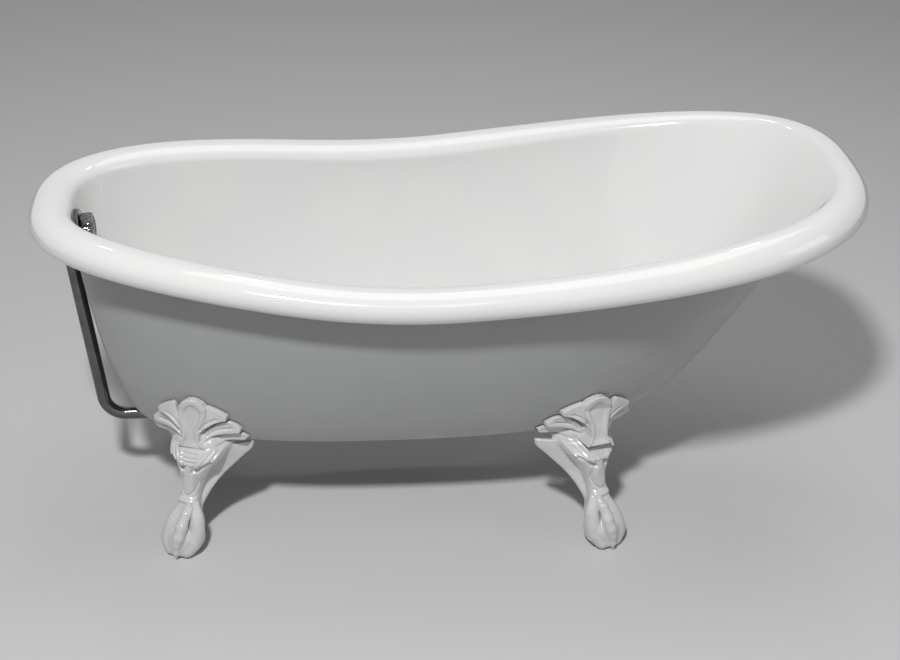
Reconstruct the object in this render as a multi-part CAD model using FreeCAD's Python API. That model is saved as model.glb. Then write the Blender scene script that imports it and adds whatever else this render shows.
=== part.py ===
import FreeCAD, Part
import math
import os

from FreeCAD import Vector

os.makedirs("parts", exist_ok=True)

# Roll-top slipper bathtub on four ball-and-claw feet, with a cable-driven pop-up waste.
# Frame: X along the tub (+X to the raised slipper end, -X to the drain end), +Z up,
# origin on the floor under the middle of the rim. Millimetres.

# ---------------------------------------------------------------- tub casting
TUB_LENGTH = 1550.0             # over the rolled rim
RIM_WIDTH = 733.0               # over the rolled rim at mid length
RIM_SQUARENESS = 2.63           # exponent of the rim's superellipse
RIM_TAPER = 0.10                # extra width at the slipper end, less at the drain end
RIM_LOW = 615.0                 # crest height at the lowest part of the rim
SLIPPER_RISE = 130.0            # how far the sweep of the slipper end climbs in all
SLIPPER_SWEEP = (-300.0, 1170.0)  # where that sweep starts and would level out
DRAIN_RISE = 54.0               # how far the rim climbs at the drain end
ROLL_HALF_WIDTH = 38.5          # rolled rim's section, an ellipse
ROLL_HALF_HEIGHT = 30.0
ROLL_TILT_SLIPPER = 38.0        # degrees that the roll leans out at the slipper end
ROLL_TILT_DRAIN = 6.0
ROLL_LIP_ANGLE = -70.0          # where the roll's lip ends, measured on its section
CASTING_WALL = 7.0              # iron and enamel
UNDERSIDE_Z = 212.0             # outside of the flat bottom, above the floor
BOTTOM_INSET_DRAIN = 183.0      # flat bottom's ends, in from the ends of the rim
BOTTOM_INSET_SLIPPER = 449.0
BOTTOM_ENDS = (BOTTOM_INSET_DRAIN - TUB_LENGTH / 2, TUB_LENGTH / 2 - BOTTOM_INSET_SLIPPER)
BOTTOM_HALF_WIDTH = 156.0
BOTTOM_SQUARENESS = 2.3
# How far the wall's profile runs on level out of the bottom, and down from the rim,
# as shares of its own spread and height, at the drain end, the sides and the slipper end.
BELLY_DRAIN, BELLY_SIDE, BELLY_SLIPPER = 0.38, 0.26, 0.385
FLANK_DRAIN, FLANK_SIDE, FLANK_SLIPPER = 0.60, 0.37, 0.475
END_BLEND = 0.95                # cosine over which sides turn into ends

# ---------------------------------------------------------------- feet
CROWN_X_DRAIN = 273.0 - TUB_LENGTH / 2    # middle of each crown on the wall, along the tub
CROWN_X_SLIPPER = TUB_LENGTH / 2 - 509.0
CROWN_Z = 290.0
FOOT_REACH = 42.0               # from the wall there out to the middle of the ball
FOOT_TURN = 25.0                # degrees that each foot faces towards its own end
BALL_RADIUS = 43.0
BALL_SOLE_RADIUS = 15.0         # flat that stands on the floor
TOE_SPREAD = 54.0               # degrees between the front toes
FOOT_GAP = 1.5                  # between the crown's back and the tub
LUG_RADIUS = 22.0
LUG_DROP = 12.0                 # below the flat bottom
LUG_SETBACK = 124.0             # behind the ball, along the way that the foot faces
SHELF_THICK = 14.0
STUD_RADIUS = 6.0
STUD_LENGTH = 50.0
STUD_DEPTH = 13.0               # screwed into the lug
STUD_HOLE_RADIUS = 7.0
WASHER_RADIUS, WASHER_THICK = 12.0, 2.5
NUT_ACROSS_FLATS, NUT_HEIGHT = 18.0, 10.0

# ---------------------------------------------------------------- waste
DRAIN_X = 275.0 - TUB_LENGTH / 2
DRAIN_HOLE_RADIUS = 25.5
BEDDING_THICK = 1.5             # under the drain flange, inside the tub
GASKET_THICK = 3.0              # under the tub
FLANGE_RADIUS = 35.0
FLANGE_THICK = 3.0
SPIGOT_RADIUS = 24.0
SPIGOT_BORE = 21.0
SPIGOT_LENGTH = 17.0            # below the flange
THREAD_GAP = 0.1                # radial, in every screwed joint
TUBE_Z = 192.0                  # level run of the overflow tube
CUP_FLANGE_RADIUS = 36.0
CUP_FLANGE_THICK = 4.0
CUP_RADIUS = 29.0
CUP_BORE = 25.0
CUP_DEPTH = 33.0                # from its flange to the shoulder over the outlet
OUTLET_RADIUS = 23.9            # 1 1/2 inch pipe thread
OUTLET_BORE = 20.0
OUTLET_LENGTH = 20.0
PLUG_RADIUS = 31.0
PLUG_LIFT = 10.0
STEM_RADIUS = 3.5
GUIDE_RADIUS = 8.0
RUNNING_GAP = 0.06              # radial, round shafts that turn or slide
SEAL_THICK = 2.0
REST_GAP = 0.2                  # between the closed plug's seal and its seat
ROCKER_ARM = 14.0               # pivot to the tip under the stem
ROCKER_PIVOT_Z = 194.0
ROCKER_THICK = 6.0
ROCKER_TIP_RADIUS = 2.5
ROCKER_ARM_HALF = 1.5           # half the depth of its arms
ROCKER_HUB_RADIUS = 5.0
PIN_RADIUS = 1.5
TIP_GAP = 0.1                   # between the rocker's tip and the stem
STEM_CHAMFER = 1.5
SPOKE_THICK = 3.0
SPOKE_TURN = 45.0
CHAMBER_GAP = 3.5               # between the flange's thread and the cup's chamber
BORE_TAPER = 4.0                # height over which the chamber narrows to the outlet
HEAD_EDGE = 2.5                 # upright edge of the plug's head
HEAD_DOME = [(0.8, 2.2), (0.5, 3.7), (0.0, 4.5)]    # share of its radius, height over the edge
HEAD_BOSS = 2.0                 # how far its boss reaches into the flange
LOCK_NUT_HEIGHT = 4.0
STEM_HOLD = 3.0                 # how far the stem goes into the head

# ---------------------------------------------------------------- overflow
OVERFLOW_Z = 595.0
OVERFLOW_HOLE_RADIUS = 26.0
HOUSING_RADIUS = 24.0
HOUSING_WALL = 3.0
HOUSING_FLANGE_RADIUS = 32.0
HOUSING_FLANGE_THICK = 3.5
TUBE_RADIUS = 12.5
TUBE_WALL = 1.2
TUBE_BEND = 42.0
SOCKET_RADIUS = TUBE_RADIUS + 1.3
TUBE_SETBACK = SOCKET_RADIUS + GASKET_THICK + 0.4   # tube's middle, out from the wall
HOUSING_DEPTH = TUBE_SETBACK + SOCKET_RADIUS + 0.5  # from the wall to its closed end
SOCKET_FIT = 0.1                # radial, tube in its sockets
HOUSING_SOCKET_END = 46.0       # from the overflow's axis
CUP_SOCKET_END = 52.0           # from the waste's axis
SOCKET_DEPTH = 8.0
TUBE_SEAL_THICK = 3.0
TUBE_NUT_FLATS = 2 * SOCKET_RADIUS + 4.0
TUBE_NUT_GRIP = 12.0            # how far a tube nut is screwed over its socket
TUBE_NUT_LIP = 2.0
NUT_TURN = 30.0                 # turns a flat of the upper nut to the wall
BEZEL_RADIUS = 36.0
BEZEL_THICK = 5.5
INNER_GASKET_THICK = 2.0
INNER_GASKET_INSET = 1.5
BEZEL_EDGE = 2.5                # chamfer of its rim
WATER_HOLE_TURNS = (42.0, 90.0, 138.0, 222.0, 270.0, 318.0)
KNOB_RADIUS = 27.0
KNOB_HEIGHT = 21.0
KNOB_GAP = 1.5
KNOB_TURN = 90.0
KNOB_GROOVES = 8
KNOB_GROOVE_RADIUS = 6.0
KNOB_GROOVE_OUT = 0.55          # share of a groove's radius that its axis lies outside
KNOB_BACK_EDGE = 3.0
KNOB_FRONT_EDGE = [(0.0, 5.0), (2.0, 2.0), (6.0, 0.0)]  # in from its radius and its front
SPINDLE_SHORT = 7.0             # spindle's end, behind the knob's front
BUSH_FLANGE = 4.0               # bush's flange behind the bezel
SPINDLE_RADIUS = 4.0
SPINDLE_REACH = 19.0            # past the wall's outside, to the crank's pin
BUSH_RADIUS = 6.0
CRANK_RADIUS = 9.5
CRANK_THICK = 6.0
SET_SCREW_LENGTH = 9.0
SCREW_AT = 18.0                 # bezel screws, from the overflow's axis
SCREW_RADIUS = 2.0
SCREW_HEAD_RADIUS = 4.0
WATER_HOLE_RADIUS = 4.0
CABLE_RADIUS = 2.5
CABLE_DROP = 7.0                # cable's level run, below the middle of the tube

RING_STATIONS = 32              # points round each ring of the tub
PAST = 1.0                      # how far a cutting tool reaches past what it cuts
NEAR_SIDE = (190.0, 340.0)      # degrees round the tub between which its near side lies
OUTLINE_STEP, WALL_STEP = 1e-4, 1e-3    # for slopes of the outline and of the wall
HALVINGS = 40


# ================================================================ geometry of the tub
def smooth(u):
    """A step from 0 to 1 that starts and ends level."""
    u = min(max(u, 0.0), 1.0)
    return u * u * (3.0 - 2.0 * u)


def squircle(angle, exponent):
    """Unit superellipse at an angle of its own, going round anticlockwise."""
    c, s = math.cos(angle), math.sin(angle)
    k = (abs(c) ** exponent + abs(s) ** exponent) ** (-1.0 / exponent)
    return c * k, s * k


def rim_outline(angle):
    """Outer edge of the rolled rim in plan."""
    c, s = squircle(angle, RIM_SQUARENESS)
    return TUB_LENGTH / 2 * c, RIM_WIDTH / 2 * s * (1.0 + RIM_TAPER * c)


def rim_normal(angle):
    """Outward direction of that edge in plan."""
    x1, y1 = rim_outline(angle + OUTLINE_STEP)
    x0, y0 = rim_outline(angle - OUTLINE_STEP)
    length = math.hypot(x1 - x0, y1 - y0)
    return Vector((y1 - y0) / length, -(x1 - x0) / length, 0)


def crest_height(x):
    """Height of the rim's crest above the floor at a place along the tub."""
    start, end = SLIPPER_SWEEP
    climb = SLIPPER_RISE * smooth((x - start) / (end - start))
    return RIM_LOW + climb + DRAIN_RISE * smooth(-2 * x / TUB_LENGTH)


def rim_point(angle, section_angle, inset=0.0):
    """Point on the rolled rim's section, in degrees from straight out, turning up."""
    x, y = rim_outline(angle)
    out = rim_normal(angle)
    share = 2 * x / TUB_LENGTH
    tilt = math.radians(ROLL_TILT_SLIPPER * smooth(share) + ROLL_TILT_DRAIN * smooth(-share))
    reach = math.hypot(ROLL_HALF_WIDTH * math.cos(tilt), ROLL_HALF_HEIGHT * math.sin(tilt))
    rise = math.hypot(ROLL_HALF_WIDTH * math.sin(tilt), ROLL_HALF_HEIGHT * math.cos(tilt))
    a = (ROLL_HALF_WIDTH - inset) * math.cos(math.radians(section_angle))
    b = (ROLL_HALF_HEIGHT - inset) * math.sin(math.radians(section_angle))
    across = a * math.cos(tilt) + b * math.sin(tilt) - reach
    up = b * math.cos(tilt) - a * math.sin(tilt)
    return Vector(x, y, crest_height(x) - rise + up) + out * across, tilt


def bottom_point(angle):
    """Edge of the flat bottom, on its outside."""
    c, s = squircle(angle, BOTTOM_SQUARENESS)
    start, end = BOTTOM_ENDS
    return Vector((start + end) / 2 + (end - start) / 2 * c, BOTTOM_HALF_WIDTH * s, UNDERSIDE_Z)


def wall_point(angle, rise):
    """Outside of the wall, from the bottom's edge (rise 0) to the rim's roll (rise 1)."""
    foot = bottom_point(angle)
    top, tilt = rim_point(angle, 180.0, CASTING_WALL)
    away = Vector(top.x - foot.x, top.y - foot.y, 0)
    spread, height = away.Length, top.z - foot.z
    away.normalize()
    slipper = smooth(math.cos(angle) / END_BLEND)
    drain = smooth(-math.cos(angle) / END_BLEND)
    side = 1.0 - slipper - drain
    belly = BELLY_SIDE * side + BELLY_SLIPPER * slipper + BELLY_DRAIN * drain
    flank = (FLANK_SIDE * side + FLANK_SLIPPER * slipper + FLANK_DRAIN * drain) * height
    u, v = 1.0 - rise, rise
    across = 3 * u * u * v * belly * spread
    across += 3 * u * v * v * (spread - flank * math.sin(tilt)) + v ** 3 * spread
    up = 3 * u * v * v * (height - flank * math.cos(tilt)) + v ** 3 * height
    return foot + away * across + Vector(0, 0, up)


def wall_normal(angle, rise):
    """Outward normal of the wall's outside."""
    low, high = max(rise - WALL_STEP, 0.0), min(rise + WALL_STEP, 1.0)
    up = wall_point(angle, high) - wall_point(angle, low)
    along = wall_point(angle + WALL_STEP, rise) - wall_point(angle - WALL_STEP, rise)
    normal = along.cross(up)
    normal.normalize()
    return normal


def wall_offset(angle, rise, distance):
    """Wall point moved out along the wall's normal, straight down at the flat bottom's edge."""
    normal = Vector(0, 0, -1) if rise == 0 else wall_normal(angle, rise)
    return wall_point(angle, rise) + normal * distance


def ring(point_at):
    """Closed smooth wire through one point per station round the tub."""
    count = RING_STATIONS
    points = [point_at(2 * math.pi * i / count) for i in range(count)]
    curve = Part.BSplineCurve()
    marks = [i / count for i in range(count + 1)]
    curve.interpolate(Points=points, PeriodicFlag=True, Parameters=marks)
    return Part.Wire([curve.toShape()])


WALL_RISES = [0.0, 0.05, 0.1, 0.16, 0.22, 0.29, 0.36, 0.44, 0.52, 0.61, 0.7, 0.8, 0.9, 1.0]
ROLL_ANGLES = [150.0, 120.0, 90.0, 60.0, 30.0, 0.0, -35.0, ROLL_LIP_ANGLE]
INNER_ROLL_ANGLES = [ROLL_LIP_ANGLE, -10.0, 60.0, 130.0]


def solve(function, target, low, high):
    """Where a rising function reaches a target between two limits."""
    for _ in range(HALVINGS):
        middle = (low + high) / 2
        if function(middle) < target:
            low = middle
        else:
            high = middle
    return (low + high) / 2


def wall_at_height(angle, height):
    """Rise at which the wall's outside reaches a height."""
    return solve(lambda rise: wall_point(angle, rise).z, height, 0.0, 1.0)


def near_wall(across, value, height):
    """Angle and rise on the near side where the wall is at a height and at a place
    measured along a level direction that points to the slipper end."""
    def place(angle):
        return wall_point(angle, wall_at_height(angle, height)).dot(across)
    first, last = NEAR_SIDE
    angle = solve(place, value, math.radians(first), math.radians(last))
    return angle, wall_at_height(angle, height)


# ================================================================ small shared shapes
UP = Vector(0, 0, 1)


def cylinder(radius, start, axis, length):
    return Part.makeCylinder(radius, length, start, axis)


def tube(outer, inner, start, axis, length):
    """Plain ring or sleeve."""
    past = Vector(axis)
    past.normalize()
    bore = cylinder(inner, start - past, axis, length + 2)
    return cylinder(outer, start, axis, length).cut(bore)


def revolved(points, base, axis, side):
    """Turned piece from (radius, height) points about an axis through base."""
    along = Vector(axis)
    along.normalize()
    outline = [base + side * r + along * h for r, h in points]
    face = Part.Face(Part.makePolygon(outline + outline[:1]))
    return face.revolve(base, along, 360)


def hexagon(across_flats, start, axis, height, twist=0.0):
    """Hexagonal prism standing on start."""
    radius = across_flats / math.sqrt(3)
    points = []
    for i in range(6 + 1):
        a = math.radians(360 / 6 * i + twist)
        points.append(Vector(radius * math.cos(a), radius * math.sin(a), 0))
    prism = Part.Face(Part.makePolygon(points)).extrude(Vector(0, 0, height))
    prism.Placement = FreeCAD.Placement(start, FreeCAD.Rotation(UP, axis))
    return prism


def export(name, shape):
    """Write one node's STEP file."""
    bad = "" if shape.isValid() else "  NOT VALID"
    print(f"{name:22s} solids {len(shape.Solids):2d}  volume {shape.Volume / 1000:9.2f} cm3{bad}")
    shape.exportStep(f"parts/{name}.step")


# ================================================================ places that pieces share
FLOOR_Z = UNDERSIDE_Z + CASTING_WALL            # inside of the flat bottom
LUG_Z = UNDERSIDE_Z - LUG_DROP                  # face that a foot's shelf bears on
FLANGE_Z = FLOOR_Z + BEDDING_THICK              # underside of the drain flange
SEAT_Z = FLANGE_Z + FLANGE_THICK                # top of the drain flange
CUP_Z = UNDERSIDE_Z - GASKET_THICK              # top of the waste cup
SHOULDER_Z = CUP_Z - CUP_DEPTH
OUTLET_Z = SHOULDER_Z - 6.0                     # start of the outlet's thread
DRAIN = Vector(DRAIN_X, 0, 0)

OVERFLOW_RISE = wall_at_height(math.pi, OVERFLOW_Z)
OVERFLOW = wall_point(math.pi, OVERFLOW_RISE)   # on the outside of the end wall
OUT = wall_normal(math.pi, OVERFLOW_RISE)       # away from the tub
IN = OUT * -1
ALONG_WALL = Vector(0, 1, 0).cross(OUT)         # up the leaning wall
BEZEL_S = CASTING_WALL + INNER_GASKET_THICK     # back of the bezel, in from the outside
KNOB_S = BEZEL_S + BEZEL_THICK + KNOB_GAP       # back of the knob
TUBE_AXIS = OVERFLOW + OUT * TUBE_SETBACK       # where the tube's line meets the overflow


def overflow(inward, side=0.0, up=0.0):
    """Point in the overflow's own directions."""
    return OVERFLOW + IN * inward + Vector(0, side, 0) + ALONG_WALL * up


# ================================================================ the tub
def make_tub():
    """Casting: wet side, rolled rim and dry side as one ruled loft between level floors,
    with the feet's lugs, the drain hole and the overflow hole."""
    wet = [ring(lambda a, r=r: wall_offset(a, r, -CASTING_WALL)) for r in WALL_RISES[:-1]]
    wet.append(ring(lambda a: rim_point(a, 180.0)[0]))
    wet += [ring(lambda a, g=g: rim_point(a, g)[0]) for g in ROLL_ANGLES]
    dry = [ring(lambda a, g=g: rim_point(a, g, CASTING_WALL)[0]) for g in INNER_ROLL_ANGLES]
    dry += [ring(lambda a, r=r: wall_point(a, r)) for r in reversed(WALL_RISES)]
    tub = Part.makeLoft(wet + dry, True, True)
    if tub.Volume < 0:
        tub.reverse()
    through = 3 * CASTING_WALL
    base = DRAIN + UP * (UNDERSIDE_Z - CASTING_WALL)
    holes = [cylinder(DRAIN_HOLE_RADIUS, base, UP, through)]
    holes.append(cylinder(OVERFLOW_HOLE_RADIUS, overflow(-CASTING_WALL), IN, through))
    lugs = []
    for x_sign in (-1, 1):
        for y_sign in (-1, 1):
            base = lug_centre(x_sign, y_sign) + UP * LUG_Z
            lugs.append(cylinder(LUG_RADIUS, base, UP, LUG_DROP + CASTING_WALL - 1))
            holes.append(cylinder(STUD_RADIUS + THREAD_GAP, base, UP, STUD_DEPTH))
    return tub.fuse(lugs).cut(holes)


# ================================================================ the feet
def foot_directions(x_sign):
    """Way that a near foot faces, and the level way across it."""
    turn = math.radians(FOOT_TURN)
    facing = Vector(x_sign * math.sin(turn), -math.cos(turn), 0)
    return facing, UP.cross(facing)


def ball_place(x_sign):
    """Place on the floor under a near foot's ball."""
    x = CROWN_X_DRAIN if x_sign < 0 else CROWN_X_SLIPPER
    angle, rise = near_wall(Vector(1, 0, 0), x, CROWN_Z)
    point = wall_point(angle, rise) + foot_directions(x_sign)[0] * FOOT_REACH
    return Vector(point.x, point.y, 0)


BALL_PLACES = {x_sign: ball_place(x_sign) for x_sign in (-1, 1)}


def lug_centre(x_sign, y_sign):
    """Axis of the lug and stud that hold a foot."""
    facing, _ = foot_directions(x_sign)
    lug = BALL_PLACES[x_sign] - facing * LUG_SETBACK
    return Vector(lug.x, -y_sign * lug.y, 0)


CROWN_SHIFT = 12.0              # the crown's middle, from over the ball to the tub's middle
# Leg as level sections: height, front and back along the way that the foot faces (0 is
# over the ball), and half the width. In the crown, the front is measured from the wall.
LEG_SECTIONS = [
    (56.0, 16.0, -28.0, 24.0),
    (84.0, 13.0, -36.0, 25.0),
    (106.0, 3.0, -38.0, 22.0),
    (128.0, -4.0, -46.0, 20.5),
    (152.0, -6.0, -60.0, 23.5),
    (176.0, -6.0, -80.0, 34.0),
    (198.0, -8.0, -104.0, 52.0),
]
CROWN_SECTIONS = [
    (220.0, 60.0, 66.0),
    (244.0, 34.0, 72.0),
    (270.0, 22.0, 66.0),
    (294.0, 13.0, 52.0),
    (322.0, 8.0, 26.0),
]
CROWN_BACK = 50.0               # how far the crown's stock runs into the tub before the cut
# Leaves of the crown: place across the foot, height, lean from upright, length,
# half the width at the shoulders, how far each stands out from the wall.
LEAVES = [
    (64.0, 238.0, 92.0, 60.0, 10.0, 10.0),
    (56.0, 261.0, 74.0, 64.0, 14.0, 13.0),
    (37.0, 287.0, 50.0, 62.0, 17.0, 15.0),
    (0.0, 307.0, 0.0, 70.0, 23.0, 17.0),
]
LEAF_OUTLINE = [(-0.55, -0.4), (0.15, -1.0), (0.45, 0.0), (0.15, 1.0), (-0.55, 0.4)]
LEAF_BEVEL = 4.0
LEAF_TOP = 0.7                  # size of a leaf's face against its foot
LEAF_ROOT = 12.0                # how far its foot runs into the tub before the cut
LEG_SQUARENESS = 2.3
BALL_TOP = 74.0                 # degrees up the ball where the leg has covered it
# Toe along its arc over the ball: degrees above level, distance out from the ball's
# middle, thickness radius. Two knuckles, then the nail.
TOE_STATIONS = [
    (74.0, 33.0, 11.0),
    (50.0, 35.0, 13.5),
    (28.0, 37.0, 11.5),
    (4.0, 37.0, 13.0),
    (-42.0, 34.0, 5.0),
]
LEG_SIDES, TOE_SIDES, BALL_SIDES, BALL_BANDS = 14, 10, 18, 8
RIB_HEIGHTS = (200.0, 207.0, 214.0)
ENVELOPE_RISE = 0.6             # share of the wall's height that the crowns stay under
RIB_RADIUS, RIB_LENGTH = 2.4, 26.0


def wall_reach(x_sign, lateral, height):
    """How far in front of the ball's axis the wall is, at a place across the foot, with
    that place's angle and rise on the wall."""
    facing, across = foot_directions(x_sign)
    side = 1 if across.x > 0 else -1
    place = BALL_PLACES[x_sign].dot(across) + lateral
    angle, rise = near_wall(across * side, place * side, height)
    return (wall_point(angle, rise) - BALL_PLACES[x_sign]).dot(facing), angle, rise


def crown_shift(x_sign, height):
    """How far the leg has leaned towards the crown's middle at a height."""
    low, high = LEG_SECTIONS[0][0], CROWN_SECTIONS[0][0]
    return -x_sign * CROWN_SHIFT * smooth((height - low) / (high - low))


def level_section(x_sign, height, front, back, half_width):
    """Corners of one oval section of a leg."""
    facing, across = foot_directions(x_sign)
    middle = BALL_PLACES[x_sign] + facing * ((front + back) / 2) + UP * height
    middle += across * crown_shift(x_sign, height)
    points = []
    for i in range(LEG_SIDES):
        c, s = squircle(2 * math.pi * (i + 0.5) / LEG_SIDES, LEG_SQUARENESS)
        points.append(middle + facing * (c * (front - back) / 2) + across * (s * half_width))
    return points


def skin(sections):
    """Solid with flat facets through sections that have the same number of corners."""
    faces = [Part.Face(Part.makePolygon(ends + ends[:1])) for ends in (sections[0], sections[-1])]
    for low, high in zip(sections, sections[1:]):
        for i, corner in enumerate(low):
            j = (i + 1) % len(low)
            for facet in ([corner, low[j], high[i]], [low[j], high[j], high[i]]):
                faces.append(Part.Face(Part.makePolygon(facet + facet[:1])))
    solid = Part.Solid(Part.makeShell(faces))
    if solid.Volume < 0:
        solid.reverse()
    return solid


def make_leg(x_sign):
    """Curved leg that fans out into the crown's stock."""
    sections = [level_section(x_sign, *section) for section in LEG_SECTIONS]
    for height, proud, half_width in CROWN_SECTIONS:
        wall, _, _ = wall_reach(x_sign, crown_shift(x_sign, height), height)
        sections.append(level_section(x_sign, height, wall + proud, wall - CROWN_BACK, half_width))
    return skin(sections)


def make_leaf(x_sign, lateral, height, lean, length, half_width, proud):
    """One bevelled leaf lying on the wall, its root towards the crown's middle."""
    _, angle, rise = wall_reach(x_sign, lateral + crown_shift(x_sign, height), height)
    normal = wall_normal(angle, rise)
    sideways = UP.cross(normal)
    sideways.normalize()
    tilt = math.radians(lean)
    along = normal.cross(sideways) * math.cos(tilt) + sideways * math.sin(tilt)
    beside = normal.cross(along)
    base = wall_point(angle, rise)
    sections = []
    for lift, scale in ((-LEAF_ROOT, 1.0), (proud - LEAF_BEVEL, 1.0), (proud, LEAF_TOP)):
        points = []
        for s, r in LEAF_OUTLINE:
            offset = along * (s * length * scale) + beside * (r * half_width * scale)
            points.append(base + offset + normal * lift)
        sections.append(points)
    return skin(sections)


def round_section(centre, axis, side, radius, count):
    """Corners of one round section."""
    other = axis.cross(side)
    points = []
    for i in range(count):
        a = 2 * math.pi * (i + 0.5) / count
        points.append(centre + side * (radius * math.cos(a)) + other * (radius * math.sin(a)))
    return points


def make_paw(x_sign):
    """Ball on its flat sole, three front toes and one behind, each ending in a nail."""
    facing, across = foot_directions(x_sign)
    rise = math.sqrt(BALL_RADIUS ** 2 - BALL_SOLE_RADIUS ** 2)
    centre = BALL_PLACES[x_sign] + UP * rise
    lowest = -math.degrees(math.asin(rise / BALL_RADIUS))
    sections = []
    for k in range(BALL_BANDS + 1):
        a = math.radians(lowest + (BALL_TOP - lowest) * k / BALL_BANDS)
        spot = centre + UP * (BALL_RADIUS * math.sin(a))
        sections.append(round_section(spot, UP, facing, BALL_RADIUS * math.cos(a), BALL_SIDES))
    toes = []
    for turn in (-TOE_SPREAD, 0.0, TOE_SPREAD, 180.0):
        heading = facing * math.cos(math.radians(turn)) + across * math.sin(math.radians(turn))
        rings = []
        for level, distance, radius in TOE_STATIONS:
            a = math.radians(level)
            spot = centre + heading * (distance * math.cos(a)) + UP * (distance * math.sin(a))
            tangent = heading * math.sin(a) - UP * math.cos(a)
            rings.append(round_section(spot, tangent, UP.cross(heading), radius, TOE_SIDES))
        toes.append(skin(rings))
    return skin(sections).fuse(toes)


def tub_envelope():
    """The lower part of the tub, grown by the gap that the crowns keep from it."""
    rises = [rise for rise in WALL_RISES if rise < ENVELOPE_RISE]
    rings = [ring(lambda a, r=r: wall_offset(a, r, FOOT_GAP)) for r in rises]

    def level_top(angle):
        edge = wall_offset(angle, rises[-1], FOOT_GAP)
        return Vector(edge.x, edge.y, OVERFLOW_Z)
    rings.append(ring(level_top))
    return Part.makeLoft(rings, True, True)


def make_foot(x_sign, envelope):
    """One near foot: paw, leg, crown and the shelf that is bolted under its lug."""
    facing, across = foot_directions(x_sign)
    ball = BALL_PLACES[x_sign]
    lug = ball - facing * LUG_SETBACK + UP * (LUG_Z - SHELF_THICK)
    width = 2 * (LUG_RADIUS + 4)
    tongue = Part.makeBox(LUG_SETBACK / 2, width, SHELF_THICK, Vector(0, -width / 2, 0))
    tongue.Placement = FreeCAD.Placement(lug, FreeCAD.Rotation(Vector(1, 0, 0), facing))
    pieces = [make_paw(x_sign), cylinder(width / 2, lug, UP, SHELF_THICK), tongue]
    for lateral, height, lean, length, half_width, proud in LEAVES:
        for side in ((1,) if lateral == 0 else (-1, 1)):
            pieces.append(make_leaf(x_sign, side * lateral, height, side * lean, length,
                                    half_width, proud))
    height, proud, _ = CROWN_SECTIONS[0]
    shift = crown_shift(x_sign, height)
    front = wall_reach(x_sign, shift, height)[0] + proud
    for height in RIB_HEIGHTS:
        start = ball + facing * front + across * (shift - RIB_LENGTH / 2) + UP * height
        pieces.append(cylinder(RIB_RADIUS, start, across, RIB_LENGTH))
    foot = make_leg(x_sign).fuse(pieces).cut(envelope)
    foot = foot.cut(cylinder(STUD_HOLE_RADIUS, lug - UP * LUG_DROP, UP, 2 * SHELF_THICK))
    room = LUG_DROP + CASTING_WALL + FOOT_GAP
    return foot.cut(cylinder(LUG_RADIUS + FOOT_GAP, lug + UP * SHELF_THICK, UP, room))


def far_side(shape):
    """The same piece on the far side of the tub."""
    return shape.mirror(Vector(0, 0, 0), Vector(0, 1, 0))


def foot_fasteners():
    """Studs, washers and nuts, one of each per foot."""
    studs, washers, nuts = [], [], []
    for x_sign in (-1, 1):
        for y_sign in (-1, 1):
            axis = lug_centre(x_sign, y_sign)
            top = LUG_Z + STUD_DEPTH
            studs.append(cylinder(STUD_RADIUS, axis + UP * (top - STUD_LENGTH), UP, STUD_LENGTH))
            washer_z = LUG_Z - SHELF_THICK - WASHER_THICK
            bore = STUD_RADIUS + THREAD_GAP
            washers.append(tube(WASHER_RADIUS, bore, axis + UP * washer_z, UP, WASHER_THICK))
            nut = hexagon(NUT_ACROSS_FLATS, axis + UP * (washer_z - NUT_HEIGHT), UP, NUT_HEIGHT)
            bore = cylinder(bore, axis + UP * (washer_z - NUT_HEIGHT - 1), UP, NUT_HEIGHT + 2)
            nuts.append(nut.cut(bore))
    return studs, washers, nuts


# ================================================================ the waste
PLUG_SEAL_Z = SEAT_Z + REST_GAP
PLUG_HEAD_Z = PLUG_SEAL_Z + SEAL_THICK
GUIDE_Z = (CUP_Z - 3.0, CUP_Z + 7.0)
LIFT_ANGLE = math.degrees(math.asin(PLUG_LIFT / 2 / ROCKER_ARM))
PIVOT = DRAIN + Vector(-ROCKER_ARM * math.cos(math.radians(LIFT_ANGLE)), 0, ROCKER_PIVOT_Z)
STEM_Z = ROCKER_PIVOT_Z - PLUG_LIFT / 2 + ROCKER_TIP_RADIUS + TIP_GAP
CABLE_Z = TUBE_Z - CABLE_DROP
ROCKER_PULL = ROCKER_PIVOT_Z - CABLE_Z
LEVEL = Vector(1, 0, 0)
SIDE = Vector(0, 1, 0)


def drain_fittings():
    """Flange screwed down into the cup, with the ring under each."""
    spigot_z = FLANGE_Z - SPIGOT_LENGTH
    edge = FLANGE_THICK / 3
    outline = [(SPIGOT_BORE, spigot_z), (SPIGOT_RADIUS, spigot_z), (SPIGOT_RADIUS, FLANGE_Z),
               (FLANGE_RADIUS, FLANGE_Z), (FLANGE_RADIUS, SEAT_Z - edge),
               (FLANGE_RADIUS - edge, SEAT_Z), (SPIGOT_BORE + 1, SEAT_Z),
               (SPIGOT_BORE, SEAT_Z - 1)]
    flange = revolved(outline, DRAIN, UP, LEVEL)
    low, high = GUIDE_Z
    spokes = []
    for turn in (0, 90):
        reach = SPIGOT_BORE + PAST / 2
        spoke = Part.makeBox(2 * reach, SPOKE_THICK, high - low,
                             Vector(-reach, -SPOKE_THICK / 2, low))
        spoke.rotate(Vector(0, 0, 0), UP, turn + SPOKE_TURN)
        spokes.append(spoke.translate(DRAIN))
    spokes.append(cylinder(GUIDE_RADIUS, DRAIN + UP * low, UP, high - low))
    guide = cylinder(STEM_RADIUS + RUNNING_GAP, DRAIN + UP * (low - 1), UP, high - low + 2)
    flange = flange.fuse(spokes).cut(guide)
    inner = SPIGOT_RADIUS + THREAD_GAP
    bedding = tube(FLANGE_RADIUS - 1, inner, DRAIN + UP * FLOOR_Z, UP, BEDDING_THICK)
    gasket = tube(CUP_FLANGE_RADIUS, inner, DRAIN + UP * CUP_Z, UP, GASKET_THICK)
    return flange, bedding, gasket


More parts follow.
